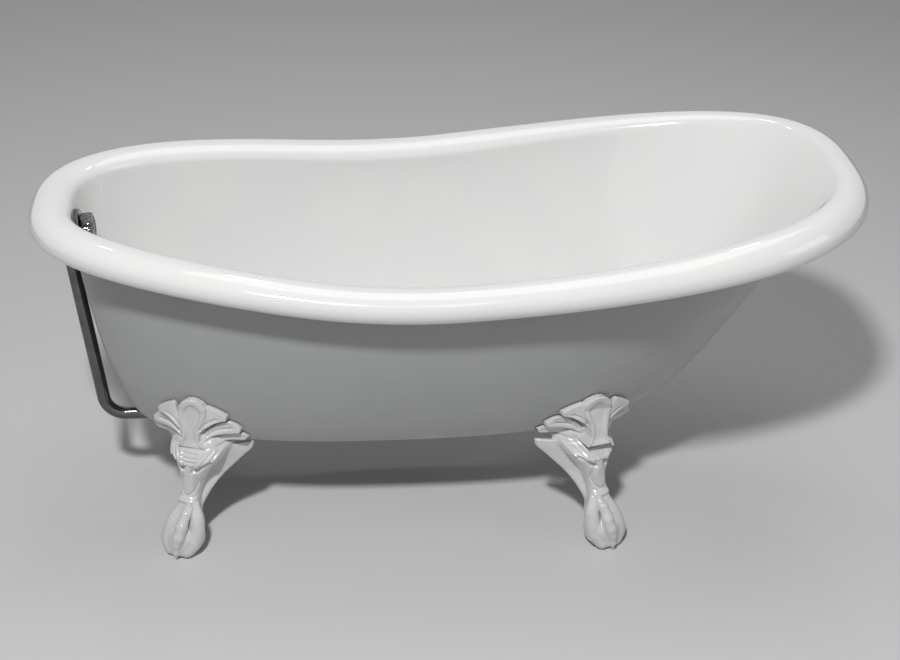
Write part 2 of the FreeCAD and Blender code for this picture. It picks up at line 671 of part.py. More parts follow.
def waste_cup():
    """Cup under the tub: flange, chamber, side socket for the tube and threaded outlet."""
    flange_z = CUP_Z - CUP_FLANGE_THICK
    low = OUTLET_Z - OUTLET_LENGTH
    outside = [(0, low), (OUTLET_RADIUS, low), (OUTLET_RADIUS, OUTLET_Z), (CUP_RADIUS, SHOULDER_Z),
               (CUP_RADIUS, flange_z), (CUP_FLANGE_RADIUS, flange_z), (CUP_FLANGE_RADIUS, CUP_Z),
               (0, CUP_Z)]
    chamber_z = FLANGE_Z - SPIGOT_LENGTH - CHAMBER_GAP
    thread = SPIGOT_RADIUS + THREAD_GAP
    inside = [(0, low - 1), (OUTLET_BORE, low - 1), (OUTLET_BORE, SHOULDER_Z + 2),
              (CUP_BORE, SHOULDER_Z + 2 + BORE_TAPER), (CUP_BORE, chamber_z), (thread, chamber_z),
              (thread, CUP_Z + 1), (0, CUP_Z + 1)]
    axis = DRAIN + UP * TUBE_Z
    boss = cylinder(SOCKET_RADIUS, axis, LEVEL * -1, CUP_SOCKET_END)
    cup = revolved(outside, DRAIN, UP, LEVEL).fuse(boss)
    cup = cup.cut(revolved(inside, DRAIN, UP, LEVEL))
    cup = cup.cut(cylinder(TUBE_RADIUS - TUBE_WALL, axis, LEVEL * -1, CUP_SOCKET_END + 1))
    socket = axis - LEVEL * (CUP_SOCKET_END - SOCKET_DEPTH)
    cup = cup.cut(cylinder(TUBE_RADIUS + SOCKET_FIT, socket, LEVEL * -1, SOCKET_DEPTH + 1))
    return cup.cut(cylinder(PIN_RADIUS, PIVOT - SIDE * CUP_RADIUS, SIDE, 2 * CUP_RADIUS))


def arm(end):
    """Flat arm from the rocker's pivot to a round tip in the middle plane."""
    along = end - PIVOT
    corner = Vector(0, -ROCKER_THICK / 2, -ROCKER_ARM_HALF)
    plate = Part.makeBox(along.Length, ROCKER_THICK, 2 * ROCKER_ARM_HALF, corner)
    plate.Placement = FreeCAD.Placement(PIVOT, FreeCAD.Rotation(LEVEL, along))
    return plate.fuse(cylinder(ROCKER_TIP_RADIUS, end + SIDE * corner.y, SIDE, ROCKER_THICK))


def rocker_parts():
    """Rocker that the cable swings and that lifts the stem, drawn with the plug closed."""
    rest = math.radians(-LIFT_ANGLE)
    tip = PIVOT + Vector(ROCKER_ARM * math.cos(rest), 0, ROCKER_ARM * math.sin(rest))
    nipple = PIVOT + Vector(ROCKER_PULL * math.sin(rest), 0, -ROCKER_PULL * math.cos(rest))
    hub = cylinder(ROCKER_HUB_RADIUS, PIVOT - SIDE * (ROCKER_THICK / 2), SIDE, ROCKER_THICK)
    rocker = hub.fuse([arm(tip), arm(nipple)])
    bore = cylinder(PIN_RADIUS + RUNNING_GAP, PIVOT - SIDE * ROCKER_THICK, SIDE, 2 * ROCKER_THICK)
    half = math.sqrt(CUP_RADIUS ** 2 - ROCKER_ARM ** 2) - 1
    return rocker.cut(bore), cylinder(PIN_RADIUS, PIVOT - SIDE * half, SIDE, 2 * half)


def plug_parts():
    """Domed head, its seal, the stem that slides in the flange and the nut between them."""
    boss_z = SEAT_Z - HEAD_BOSS
    top = PLUG_HEAD_Z + HEAD_EDGE
    dome = [(PLUG_RADIUS, PLUG_HEAD_Z), (PLUG_RADIUS, top)]
    dome += [(PLUG_RADIUS * share, top + height) for share, height in HEAD_DOME]
    outline = [(0, boss_z), (GUIDE_RADIUS, boss_z), (GUIDE_RADIUS, PLUG_HEAD_Z)] + dome
    head = revolved(outline, DRAIN, UP, LEVEL)
    stem_top = PLUG_HEAD_Z + STEM_HOLD
    head = head.cut(cylinder(STEM_RADIUS, DRAIN + UP * (boss_z - 1), UP, stem_top - boss_z + 1))
    seal = tube(PLUG_RADIUS - 4, GUIDE_RADIUS, DRAIN + UP * PLUG_SEAL_Z, UP, SEAL_THICK)
    tip = STEM_RADIUS - STEM_CHAMFER
    stem = revolved([(0, STEM_Z), (tip, STEM_Z), (STEM_RADIUS, STEM_Z + STEM_CHAMFER),
                     (STEM_RADIUS, stem_top), (0, stem_top)], DRAIN, UP, LEVEL)
    nut_z = boss_z - LOCK_NUT_HEIGHT
    nut = hexagon(2 * GUIDE_RADIUS - 3, DRAIN + UP * nut_z, UP, LOCK_NUT_HEIGHT)
    bore = cylinder(STEM_RADIUS, DRAIN + UP * (nut_z - PAST), UP, LOCK_NUT_HEIGHT + 2 * PAST)
    return head, seal, stem, nut.cut(bore)


# ================================================================ the overflow
def overflow_cylinder(radius, start, end, side=0.0, up=0.0):
    """Cylinder along the overflow's axis between two distances in from the wall's outside."""
    return cylinder(radius, overflow(start, side, up), IN, end - start)


def overflow_seals(tub):
    """Gaskets on both sides of the wall, each cut to the wall's own curve."""
    hole = overflow_cylinder(OVERFLOW_HOLE_RADIUS, -2 * CASTING_WALL, 3 * CASTING_WALL)
    middle = CASTING_WALL / 2
    outer = overflow_cylinder(HOUSING_FLANGE_RADIUS, -GASKET_THICK, middle)
    inner = overflow_cylinder(BEZEL_RADIUS - INNER_GASKET_INSET, middle, BEZEL_S)
    return outer.cut([hole, tub]), inner.cut([hole, tub])


def overflow_housing():
    """Cup behind the wall with a flange, a socket for the tube and two screw bosses."""
    back = -HOUSING_DEPTH + HOUSING_WALL
    start = TUBE_AXIS - ALONG_WALL * (HOUSING_RADIUS / 2)
    down = ALONG_WALL * -1
    boss = cylinder(SOCKET_RADIUS, start, down, HOUSING_SOCKET_END - HOUSING_RADIUS / 2)
    body = overflow_cylinder(HOUSING_RADIUS, -HOUSING_DEPTH, -GASKET_THICK)
    flange = overflow_cylinder(HOUSING_FLANGE_RADIUS, -GASKET_THICK - HOUSING_FLANGE_THICK,
                               -GASKET_THICK)
    housing = body.fuse([boss, flange])
    housing = housing.cut(overflow_cylinder(HOUSING_RADIUS - HOUSING_WALL, back, 0))
    housing = housing.cut(cylinder(TUBE_RADIUS - TUBE_WALL, start, down, HOUSING_SOCKET_END))
    socket = TUBE_AXIS - ALONG_WALL * (HOUSING_SOCKET_END - SOCKET_DEPTH)
    housing = housing.cut(cylinder(TUBE_RADIUS + SOCKET_FIT, socket, down, SOCKET_DEPTH + 1))
    bosses, threads = [], []
    for side in (-SCREW_AT, SCREW_AT):
        bosses.append(overflow_cylinder(SCREW_HEAD_RADIUS, back - 1, CASTING_WALL - 2, side))
        threads.append(overflow_cylinder(SCREW_RADIUS, -HOUSING_DEPTH / 2, CASTING_WALL, side))
    return housing.fuse(bosses).cut(threads)


def bezel_parts():
    """Pierced bezel inside the tub and the two countersunk screws that pull it to the housing."""
    front = BEZEL_S + BEZEL_THICK
    outline = [(BUSH_RADIUS, BEZEL_S), (BEZEL_RADIUS, BEZEL_S), (BEZEL_RADIUS, front - BEZEL_EDGE),
               (BEZEL_RADIUS - BEZEL_EDGE, front), (BUSH_RADIUS, front)]
    bezel = revolved(outline, OVERFLOW, IN, SIDE)
    holes = []
    for turn in WATER_HOLE_TURNS:
        a = math.radians(turn)
        radius = SCREW_AT - 1
        holes.append(overflow_cylinder(WATER_HOLE_RADIUS, BEZEL_S - 1, front + 1,
                                       radius * math.cos(a), radius * math.sin(a)))
    screws = []
    for side in (-SCREW_AT, SCREW_AT):
        base = overflow(0, side)
        shank = -HOUSING_DEPTH / 2 + 2
        head = front - SCREW_HEAD_RADIUS + SCREW_RADIUS
        profile = [(0, shank), (SCREW_RADIUS, shank), (SCREW_RADIUS, head),
                   (SCREW_HEAD_RADIUS, front), (0, front)]
        screw = revolved(profile, base, IN, SIDE)
        screws.append(screw)
        holes.append(screw)
    return bezel.cut(holes), screws


def knob_parts():
    """Fluted knob, its set screw, the spindle, the bush that it turns in and the crank."""
    back, front = KNOB_S, KNOB_S + KNOB_HEIGHT
    outline = [(0, back), (KNOB_RADIUS - KNOB_BACK_EDGE, back), (KNOB_RADIUS, back + KNOB_BACK_EDGE)]
    outline += [(KNOB_RADIUS - inset, front - drop) for inset, drop in KNOB_FRONT_EDGE]
    outline.append((0, front))
    knob = revolved(outline, OVERFLOW, IN, SIDE)
    grooves = []
    for i in range(KNOB_GROOVES):
        a = 2 * math.pi * (i + 0.5) / KNOB_GROOVES
        at = KNOB_RADIUS + KNOB_GROOVE_RADIUS * KNOB_GROOVE_OUT
        grooves.append(overflow_cylinder(KNOB_GROOVE_RADIUS, back - 1, front + 1,
                                         at * math.cos(a), at * math.sin(a)))
    spindle_end = front - SPINDLE_SHORT
    screw_s = (back + front) / 2 - 2
    screw_axis = ALONG_WALL * -1
    start = overflow(screw_s) + screw_axis * SPINDLE_RADIUS
    grooves.append(overflow_cylinder(SPINDLE_RADIUS, back - 1, spindle_end))
    grooves.append(cylinder(SCREW_RADIUS, overflow(screw_s), screw_axis, KNOB_RADIUS + PAST))
    knob = knob.cut(grooves)
    set_screw = cylinder(SCREW_RADIUS, start, screw_axis, SET_SCREW_LENGTH)
    spindle = overflow_cylinder(SPINDLE_RADIUS, -SPINDLE_REACH, spindle_end)
    bore = SPINDLE_RADIUS + RUNNING_GAP
    collar = BEZEL_S - BUSH_FLANGE
    end = BEZEL_S + BEZEL_THICK + KNOB_GAP / 2
    sleeve = [(bore, collar), (BUSH_RADIUS + 2, collar), (BUSH_RADIUS + 2, BEZEL_S),
              (BUSH_RADIUS, BEZEL_S), (BUSH_RADIUS, end), (bore, end)]
    bush = revolved(sleeve, OVERFLOW, IN, SIDE)
    throw = ROCKER_PULL * math.sin(math.radians(LIFT_ANGLE)) / math.sin(math.radians(KNOB_TURN / 2))
    a = math.radians(KNOB_TURN / 2)
    disc = overflow_cylinder(CRANK_RADIUS, -SPINDLE_REACH, -SPINDLE_REACH + CRANK_THICK)
    pin = overflow_cylinder(PIN_RADIUS, -TUBE_SETBACK - CABLE_DROP - PIN_RADIUS, -SPINDLE_REACH + 1,
                            throw * math.cos(a), throw * math.sin(a))
    spindle_hole = overflow_cylinder(SPINDLE_RADIUS, -SPINDLE_REACH, 0)
    crank = disc.cut(spindle_hole).fuse(pin)
    crank = crank.cut(overflow_cylinder(SPINDLE_RADIUS, -SPINDLE_REACH, 0))
    return knob, set_screw, spindle, bush, crank


# ================================================================ tube and cable
def bent_line(offset, start_drop, end_x):
    """Line in the middle plane beside the tube's middle: start, where the bend begins,
    the bend's centre and the level end."""
    down = ALONG_WALL * -1
    top = TUBE_AXIS + OUT * offset
    lean_sin = IN.z
    lean_cos = ALONG_WALL.z
    centre_z = TUBE_Z + TUBE_BEND
    drop = (TUBE_AXIS.z + TUBE_BEND * lean_sin - centre_z) / lean_cos
    centre = TUBE_AXIS + down * drop + IN * TUBE_BEND
    return top + down * start_drop, top + down * drop, centre, Vector(end_x, 0, TUBE_Z - offset)


def bent_rod(radius, bore, offset, start_drop, end_x):
    """Round rod or tube down the wall, round the bend and level into the cup."""
    start, bend, centre, end = bent_line(offset, start_drop, end_x)
    down = ALONG_WALL * -1
    turn = 90.0 - math.degrees(math.asin(IN.z))
    after = Vector(centre.x, 0, end.z)
    rods = []
    for r in (radius, bore):
        if r > 0:
            leg = cylinder(r, start, down, (bend - start).Length)
            elbow = Part.Face(Part.Wire([Part.Circle(bend, down, r).toShape()]))
            level = cylinder(r, after, LEVEL, (end - after).Length)
            rods.append(leg.fuse([elbow.revolve(centre, SIDE * -1, turn), level]))
    return rods[0].cut(rods[1:]) if len(rods) > 1 else rods[0]


def tube_joint(socket_end, along):
    """Seal and nut where the tube enters a socket, with the way out of the socket."""
    seal = tube(SOCKET_RADIUS, TUBE_RADIUS, socket_end, along, TUBE_SEAL_THICK)
    length = TUBE_NUT_GRIP + TUBE_SEAL_THICK + TUBE_NUT_LIP
    start = socket_end - along * TUBE_NUT_GRIP
    nut = hexagon(TUBE_NUT_FLATS, start, along, length, NUT_TURN)
    nut = nut.cut(cylinder(SOCKET_RADIUS + THREAD_GAP, start - along, along,
                           TUBE_NUT_GRIP + TUBE_SEAL_THICK + 1))
    nut = nut.cut(cylinder(TUBE_RADIUS + SOCKET_FIT, start, along, length + 1))
    return seal, nut


# ================================================================ run
if __name__ == "__main__":
    tub = make_tub()
    export("tub_casting", tub)
    envelope = tub_envelope()
    for end, x_sign in (("drain", -1), ("slipper", 1)):
        foot = make_foot(x_sign, envelope)
        export(f"foot_{end}_near", foot)
        export(f"foot_{end}_far", far_side(foot))
    studs, washers, nuts = foot_fasteners()
    export("foot_studs", Part.makeCompound(studs))
    export("foot_washers", Part.makeCompound(washers))
    export("foot_nuts", Part.makeCompound(nuts))

    flange, bedding, drain_gasket = drain_fittings()
    export("drain_flange", flange)
    export("drain_bedding", bedding)
    export("drain_gasket", drain_gasket)
    export("waste_cup", waste_cup())
    rocker, rocker_pin = rocker_parts()
    export("rocker", rocker)
    export("rocker_pin", rocker_pin)
    head, seal, stem, lock_nut = plug_parts()
    export("plug_head", head)
    export("plug_seal", seal)
    export("plug_stem", stem)
    export("plug_lock_nut", lock_nut)

    outer_gasket, inner_gasket = overflow_seals(tub)
    export("overflow_gasket", outer_gasket)
    export("inner_gasket", inner_gasket)
    export("overflow_housing", overflow_housing())
    bezel, screws = bezel_parts()
    export("overflow_bezel", bezel)
    export("bezel_screws", Part.makeCompound(screws))
    knob, set_screw, spindle, bush, crank = knob_parts()
    export("overflow_knob", knob)
    export("knob_set_screw", set_screw)
    export("knob_spindle", spindle)
    export("spindle_bush", bush)
    export("drive_crank", crank)

    tube_end = DRAIN_X - CUP_SOCKET_END + SOCKET_DEPTH
    bore = TUBE_RADIUS - TUBE_WALL
    start = HOUSING_SOCKET_END - SOCKET_DEPTH
    cable_end = PIVOT.x - 2 * ROCKER_PULL
    export("overflow_tube", bent_rod(TUBE_RADIUS, bore, 0, start, tube_end))
    export("pull_cable", bent_rod(CABLE_RADIUS, 0, CABLE_DROP, CRANK_RADIUS, cable_end))
    upper = tube_joint(TUBE_AXIS - ALONG_WALL * HOUSING_SOCKET_END, ALONG_WALL * -1)
    lower = tube_joint(DRAIN + UP * TUBE_Z - LEVEL * CUP_SOCKET_END, LEVEL * -1)
    export("tube_seals", Part.makeCompound([upper[0], lower[0]]))
    export("upper_tube_nut", upper[1])
    export("lower_tube_nut", lower[1])
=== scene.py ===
"""Slipper bath on four claw feet: the looks, the light and the camera.

Sizes are in millimetres in the row frame (+X to the slipper end, +Y away from the camera, +Z up)
until a mesh is written, which is in metres.
"""

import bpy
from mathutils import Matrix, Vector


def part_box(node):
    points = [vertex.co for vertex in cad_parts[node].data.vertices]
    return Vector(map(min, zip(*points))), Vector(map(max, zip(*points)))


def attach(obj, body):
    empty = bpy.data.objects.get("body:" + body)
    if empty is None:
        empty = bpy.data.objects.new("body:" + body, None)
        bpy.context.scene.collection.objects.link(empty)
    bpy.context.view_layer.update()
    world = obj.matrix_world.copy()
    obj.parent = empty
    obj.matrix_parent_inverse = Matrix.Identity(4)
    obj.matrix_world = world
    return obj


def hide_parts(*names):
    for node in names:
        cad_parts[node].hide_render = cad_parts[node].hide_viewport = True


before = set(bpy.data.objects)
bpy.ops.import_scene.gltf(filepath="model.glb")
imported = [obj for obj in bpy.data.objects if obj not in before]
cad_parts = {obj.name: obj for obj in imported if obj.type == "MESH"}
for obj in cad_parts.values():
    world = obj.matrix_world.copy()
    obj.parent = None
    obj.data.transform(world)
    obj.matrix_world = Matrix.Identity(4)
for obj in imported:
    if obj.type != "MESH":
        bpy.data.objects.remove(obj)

import logging
import math
from dataclasses import dataclass, field
from enum import Enum

import bmesh
import bpy
import numpy as np
from mathutils import Matrix, Vector
from mathutils.bvhtree import BVHTree

LOG = logging.getLogger("bath")
MM = 0.001
ROUNDING = 2e-6                 # metres that meshes stay inside the CAD box
FAR = 1e9                       # further than any distance here
TINY = 1e-6                     # keeps a divisor off zero
Array = np.ndarray
Rows = tuple[tuple[float, ...], ...]
Outline = tuple[tuple[float, float], ...]
Span = tuple[float, float]
Bump = tuple[float, float, float]


# ================================================================ small shared helpers
def smooth(u: Array) -> Array:
    """A step from 0 to 1 that starts and ends level."""
    u = np.clip(u, 0.0, 1.0)
    return u * u * (3.0 - 2.0 * u)


def ramp(value: Array, start: float, end: float) -> Array:
    """Smooth step of a value between two limits."""
    return smooth((value - start) / (end - start))


def hump(value: Array, middle: float, half: float) -> Array:
    """Smooth bump of height 1 about a middle, gone at a distance of half."""
    return smooth(1.0 - np.abs(value - middle) / half)


def squircle(angle: Array, exponent: float) -> tuple[Array, Array]:
    """Unit superellipse, going round anticlockwise.

    Args:
        angle: the direction from its middle, in radians.
        exponent: 2 for a circle, and more for a squarer form.

    Returns:
        The two coordinates of the points.
    """
    c, s = np.cos(angle), np.sin(angle)
    k = (np.abs(c) ** exponent + np.abs(s) ** exponent) ** (-1.0 / exponent)
    return c * k, s * k


def round_min(a: Array, b: Array, width: float) -> Array:
    """Union of two distance fields with a fillet of about that width."""
    h = np.maximum(width - np.abs(a - b), 0.0)
    return np.minimum(a, b) - h * h / (4.0 * width)


def round_max(a: Array, b: Array, width: float) -> Array:
    """Intersection of two distance fields with a rounded edge of about that width."""
    return -round_min(-a, -b, width)


def unit(vector: Array) -> Array:
    """Vectors along the last axis, made one long."""
    return vector / np.linalg.norm(vector, axis=-1, keepdims=True)


def mesh_object(name: str, points: Array, faces: list, smooth_faces: bool = True) -> bpy.types.Object:
    """Makes a mesh object.

    Args:
        name: the object's name.
        points: its vertices in millimetres.
        faces: vertex indices of each face, as an array or a list.
        smooth_faces: whether its faces are shaded smooth.

    Returns:
        The new object, linked to the scene.
    """
    mesh = bpy.data.meshes.new(name)
    mesh.from_pydata((np.asarray(points) * MM).tolist(), [], [list(map(int, f)) for f in faces])
    mesh.validate()
    mesh.polygons.foreach_set("use_smooth", [smooth_faces] * len(mesh.polygons))
    obj = bpy.data.objects.new(name, mesh)
    bpy.context.scene.collection.objects.link(obj)
    return obj


def band_faces(rings: int, count: int) -> Array:
    """Quads between neighbouring closed rings of vertices that are stored one after the other.

    Args:
        rings: how many rings there are.
        count: vertices in each.

    Returns:
        Four vertex numbers for each quad.
    """
    i, j = np.meshgrid(np.arange(rings - 1), np.arange(count), indexing="ij")
    k = (j + 1) % count
    quads = np.stack([i * count + j, i * count + k, (i + 1) * count + k, (i + 1) * count + j], -1)
    return quads.reshape(-1, 4)


def spokes(turn: Array, one: Array, other: Array) -> Array:
    """Unit vectors at angles from one direction towards another that is square to it."""
    return np.outer(np.cos(turn), np.array(one)) + np.outer(np.sin(turn), np.array(other))


def full_turn(count: int) -> Array:
    """Evenly spaced angles once round, in radians."""
    return np.linspace(0.0, 2.0 * math.pi, count, endpoint=False)


def closed_rings(name: str, rings: list[Array]) -> bpy.types.Object:
    """Makes a closed mesh from rings of vertices, with a flat cap at each end.

    Args:
        name: the object's name.
        rings: the rings in order, with equally many points each, in millimetres.

    Returns:
        The new object, with its faces outward.
    """
    count = len(rings[0])
    last = (len(rings) - 1) * count
    faces = [*band_faces(len(rings), count).tolist(), list(range(count))[::-1], list(range(last, last + count))]
    obj = mesh_object(name, np.concatenate(rings), faces)
    outward(obj)
    return obj


def turned(name: str, profile: list, base: Vector, axis: Vector, segments: int = 72) -> bpy.types.Object:
    """Makes a turned piece.

    Args:
        name: the object's name.
        profile: radius and distance along the axis, from one end to the other.
        base: where the distances start, in millimetres.
        axis: direction of the axis.
        segments: faces round the axis.

    Returns:
        The new object, closed with a cap at each end.
    """
    along = Vector(axis).normalized()
    side = along.orthogonal().normalized()
    around = spokes(full_turn(segments), side, along.cross(side))
    return closed_rings(name, [np.array(base) + np.array(along) * h + around * r for r, h in profile])


def outward(obj: bpy.types.Object) -> None:
    """Turns every face of a closed mesh outward.

    Args:
        obj: the mesh that is changed.
    """
    work = bmesh.new()
    work.from_mesh(obj.data)
    bmesh.ops.recalc_face_normals(work, faces=work.faces)
    work.to_mesh(obj.data)
    work.free()


def combine(obj: bpy.types.Object, tool: bpy.types.Object, operation: str) -> None:
    """Cuts a tool from a mesh or joins it on, and removes the tool.

    Args:
        obj: the mesh that is changed.
        tool: the closed mesh that it is combined with.
        operation: DIFFERENCE, UNION or INTERSECT.
    """
    modifier = obj.modifiers.new("combine", "BOOLEAN")
    modifier.object = tool
    modifier.operation = operation
    modifier.solver = "EXACT"
    evaluated = obj.evaluated_get(bpy.context.evaluated_depsgraph_get())
    mesh = bpy.data.meshes.new_from_object(evaluated)
    obj.modifiers.clear()
    obj.data = mesh
    bpy.data.objects.remove(tool)


def soft_edges(obj: bpy.types.Object, degrees: float = 35.0) -> None:
    """Shades a mesh smooth, except at its sharp edges.

    Args:
        obj: the mesh that is changed.
        degrees: edges that turn by more than this stay sharp.
    """
    mesh = obj.data
    mesh.polygons.foreach_set("use_smooth", [True] * len(mesh.polygons))
    mesh.set_sharp_from_angle(angle=math.radians(degrees))


# ================================================================ finishes
class Graph:
    """Adds and joins the nodes of one shader tree."""

    def __init__(self, tree: bpy.types.NodeTree) -> None:
        """Starts on a tree that may hold nodes already."""
        self.tree = tree

    def add(self, kind: str, inputs: dict | None = None, **settings: object) -> bpy.types.Node:
        """Adds a node.

        Args:
            kind: the node's type name.
            inputs: socket values, or output sockets to link, by input name or number.
            settings: attributes of the node.

        Returns:
            The new node.
        """
        node = self.tree.nodes.new(kind)
        for key, value in settings.items():
            setattr(node, key, value)
        for key, value in (inputs or {}).items():
            if isinstance(value, bpy.types.NodeSocket):
                self.tree.links.new(value, node.inputs[key])
            else:
                node.inputs[key].default_value = value
        return node

    def range(self, value: bpy.types.NodeSocket, low: float, high: float,
              to_low: float, to_high: float) -> bpy.types.NodeSocket:
        """Maps a value from one range to another."""
        sent = {0: value, 1: low, 2: high, 3: to_low, 4: to_high}
        return self.add("ShaderNodeMapRange", sent).outputs[0]


def new_group(name: str, sizes: dict[str, float],
              outputs: list[str]) -> tuple[Graph, bpy.types.Node, bpy.types.Node]:
    """Starts a shared node group with float inputs and outputs.

    Args:
        name: the group's name.
        sizes: its float inputs with their default values.
        outputs: its float outputs.

    Returns:
        The group's graph, its input node and its output node.
    """
    tree = bpy.data.node_groups.new(name, "ShaderNodeTree")
    for label, value in sizes.items():
        tree.interface.new_socket(label, in_out="INPUT", socket_type="NodeSocketFloat").default_value = value
    for label in outputs:
        tree.interface.new_socket(label, in_out="OUTPUT", socket_type="NodeSocketFloat")
    graph = Graph(tree)
    return graph, graph.add("NodeGroupInput"), graph.add("NodeGroupOutput")


def flow_group() -> bpy.types.NodeTree:
    """Makes the group for a poured or sprayed coating.

    Returns:
        A group with a slow wave and finer ripple as its height, and a cloudy mask.
    """
    graph, into, out = new_group("coating_flow", {"Wave": 9.0, "Ripple": 60.0}, ["Height", "Mask"])
    place = graph.add("ShaderNodeTexCoord").outputs["Object"]
    slow = graph.add("ShaderNodeTexNoise", {"Vector": place, "Scale": into.outputs["Wave"], "Detail": 2.0})
    quick = graph.add("ShaderNodeTexNoise", {"Vector": place, "Scale": into.outputs["Ripple"], "Detail": 3.0})
    small = graph.add("ShaderNodeMath", {0: quick.outputs[0], 1: 0.3}, operation="MULTIPLY")
    both = graph.add("ShaderNodeMath", {0: slow.outputs[0], 1: small.outputs[0]}, operation="ADD")
    graph.tree.links.new(both.outputs[0], out.inputs["Height"])
    graph.tree.links.new(graph.range(slow.outputs[0], 0.35, 0.65, 0.0, 1.0), out.inputs["Mask"])
    return graph.tree


def turning_group() -> bpy.types.NodeTree:
    """Makes the group for machined or drawn metal.

    Returns:
        A group with fine marks as its height, and a cloudy mask for the polish.
    """
    graph, into, out = new_group("metal_marks", {"Marks": 900.0, "Cloud": 30.0}, ["Height", "Mask"])
    place = graph.add("ShaderNodeTexCoord").outputs["Object"]
    fine = graph.add("ShaderNodeTexNoise", {"Vector": place, "Scale": into.outputs["Marks"], "Detail": 3.0})
    cloud = graph.add("ShaderNodeTexNoise", {"Vector": place, "Scale": into.outputs["Cloud"], "Detail": 3.0})
    graph.tree.links.new(fine.outputs[0], out.inputs["Height"])
    graph.tree.links.new(graph.range(cloud.outputs[0], 0.3, 0.7, 0.0, 1.0), out.inputs["Mask"])
    return graph.tree


class Effect(Enum):
    """Which shared group a finish takes its variation from."""

    FLOW = "coating_flow"
    MARKS = "metal_marks"


@dataclass(frozen=True)
class Finish:
    """One finish: two base colours that it drifts between, its gloss and its unevenness."""

    name: str
    colour: tuple[float, float, float]
    other: tuple[float, float, float]
    roughness: tuple[float, float]
    metallic: float = 0.0
    coat: float = 0.0
    coat_roughness: float = 0.03
    bump: float = 0.05
    bump_depth: float = 0.001
    effect: Effect = Effect.FLOW
    scales: dict[str, float] = field(default_factory=dict)

    def material(self) -> bpy.types.Material:
        """Builds the finish when it is first asked for.

        Returns:
            Its material.
        """
        ready = bpy.data.materials.get(self.name)
        if ready:
            return ready
        material = bpy.data.materials.new(self.name)
        material.use_nodes = True
        graph = Graph(material.node_tree)
        shader = next(n for n in graph.tree.nodes if n.type == "BSDF_PRINCIPLED")
        group = graph.add("ShaderNodeGroup", node_tree=bpy.data.node_groups[self.effect.value])
        for label, value in self.scales.items():
            group.inputs[label].default_value = value
        mask = group.outputs["Mask"]
        mixed = graph.add("ShaderNodeMix", {"Factor": mask}, data_type="RGBA")
        for socket in mixed.inputs:
            if socket.type == "RGBA":
                socket.default_value = (*(self.colour if socket.name == "A" else self.other), 1.0)
        colour = next(s for s in mixed.outputs if s.type == "RGBA")
        graph.tree.links.new(colour, shader.inputs["Base Color"])
        graph.tree.links.new(graph.range(mask, 0.0, 1.0, *self.roughness), shader.inputs["Roughness"])
        bump = graph.add("ShaderNodeBump", {"Height": group.outputs["Height"], "Strength": self.bump,
                                            "Distance": self.bump_depth})
        graph.tree.links.new(bump.outputs[0], shader.inputs["Normal"])
        shader.inputs["Metallic"].default_value = self.metallic
        shader.inputs["Coat Weight"].default_value = self.coat
        shader.inputs["Coat Roughness"].default_value = self.coat_roughness
        return material

    def dress(self, *objects: bpy.types.Object) -> None:
        """Gives whole objects this finish.

        Args:
            objects: the objects that get it.
        """
        for obj in objects:
            obj.data.materials.clear()
            obj.data.materials.append(self.material())


ENAMEL = Finish("white_enamel", (0.75, 0.75, 0.74), (0.73, 0.735, 0.73), (0.07, 0.12), coat=0.6,
                bump=0.10, bump_depth=0.002, scales={"Wave": 7.0, "Ripple": 45.0})
PAINT = Finish("grey_paint", (0.36, 0.365, 0.365), (0.348, 0.353, 0.355), (0.34, 0.42), coat=0.15,
               coat_roughness=0.25, bump=0.22, bump_depth=0.001, scales={"Wave": 14.0, "Ripple": 160.0})
FOOT_WHITE = Finish("white_foot_coat", (0.62, 0.62, 0.615), (0.56, 0.56, 0.555), (0.13, 0.22), coat=0.5,
                    coat_roughness=0.06, bump=0.18, bump_depth=0.0012, scales={"Wave": 30.0, "Ripple": 190.0})
# The chrome's base colour is kept far darker than real chrome: a painted dark reflection that stands in for
# dark surroundings mirrored in the plated parts.
CHROME_PAINTED_DARK_REFLECTION = Finish("chrome_painted_dark_reflection", (0.16, 0.16, 0.168), (0.12, 0.12, 0.126), (0.05, 0.10), metallic=1.0,
                bump=0.03, bump_depth=0.0003, effect=Effect.MARKS)
BRASS = Finish("turned_brass", (0.62, 0.45, 0.19), (0.48, 0.34, 0.14), (0.22, 0.34), metallic=1.0,
               bump=0.10, bump_depth=0.0003, effect=Effect.MARKS)
ZINC = Finish("zinc_plate", (0.52, 0.53, 0.54), (0.40, 0.41, 0.42), (0.28, 0.42), metallic=1.0,
              bump=0.12, bump_depth=0.0003, effect=Effect.MARKS)
STEEL = Finish("pin_steel", (0.56, 0.56, 0.57), (0.46, 0.46, 0.47), (0.20, 0.30), metallic=1.0,
               bump=0.08, bump_depth=0.0003, effect=Effect.MARKS)
RUBBER = Finish("black_rubber", (0.022, 0.022, 0.022), (0.032, 0.032, 0.031), (0.62, 0.78), bump=0.25,
                bump_depth=0.0004, scales={"Wave": 60.0, "Ripple": 700.0})
POLYMER = Finish("black_polymer", (0.018, 0.018, 0.02), (0.026, 0.026, 0.028), (0.42, 0.55), bump=0.12,
                 bump_depth=0.0003, scales={"Wave": 60.0, "Ripple": 500.0})


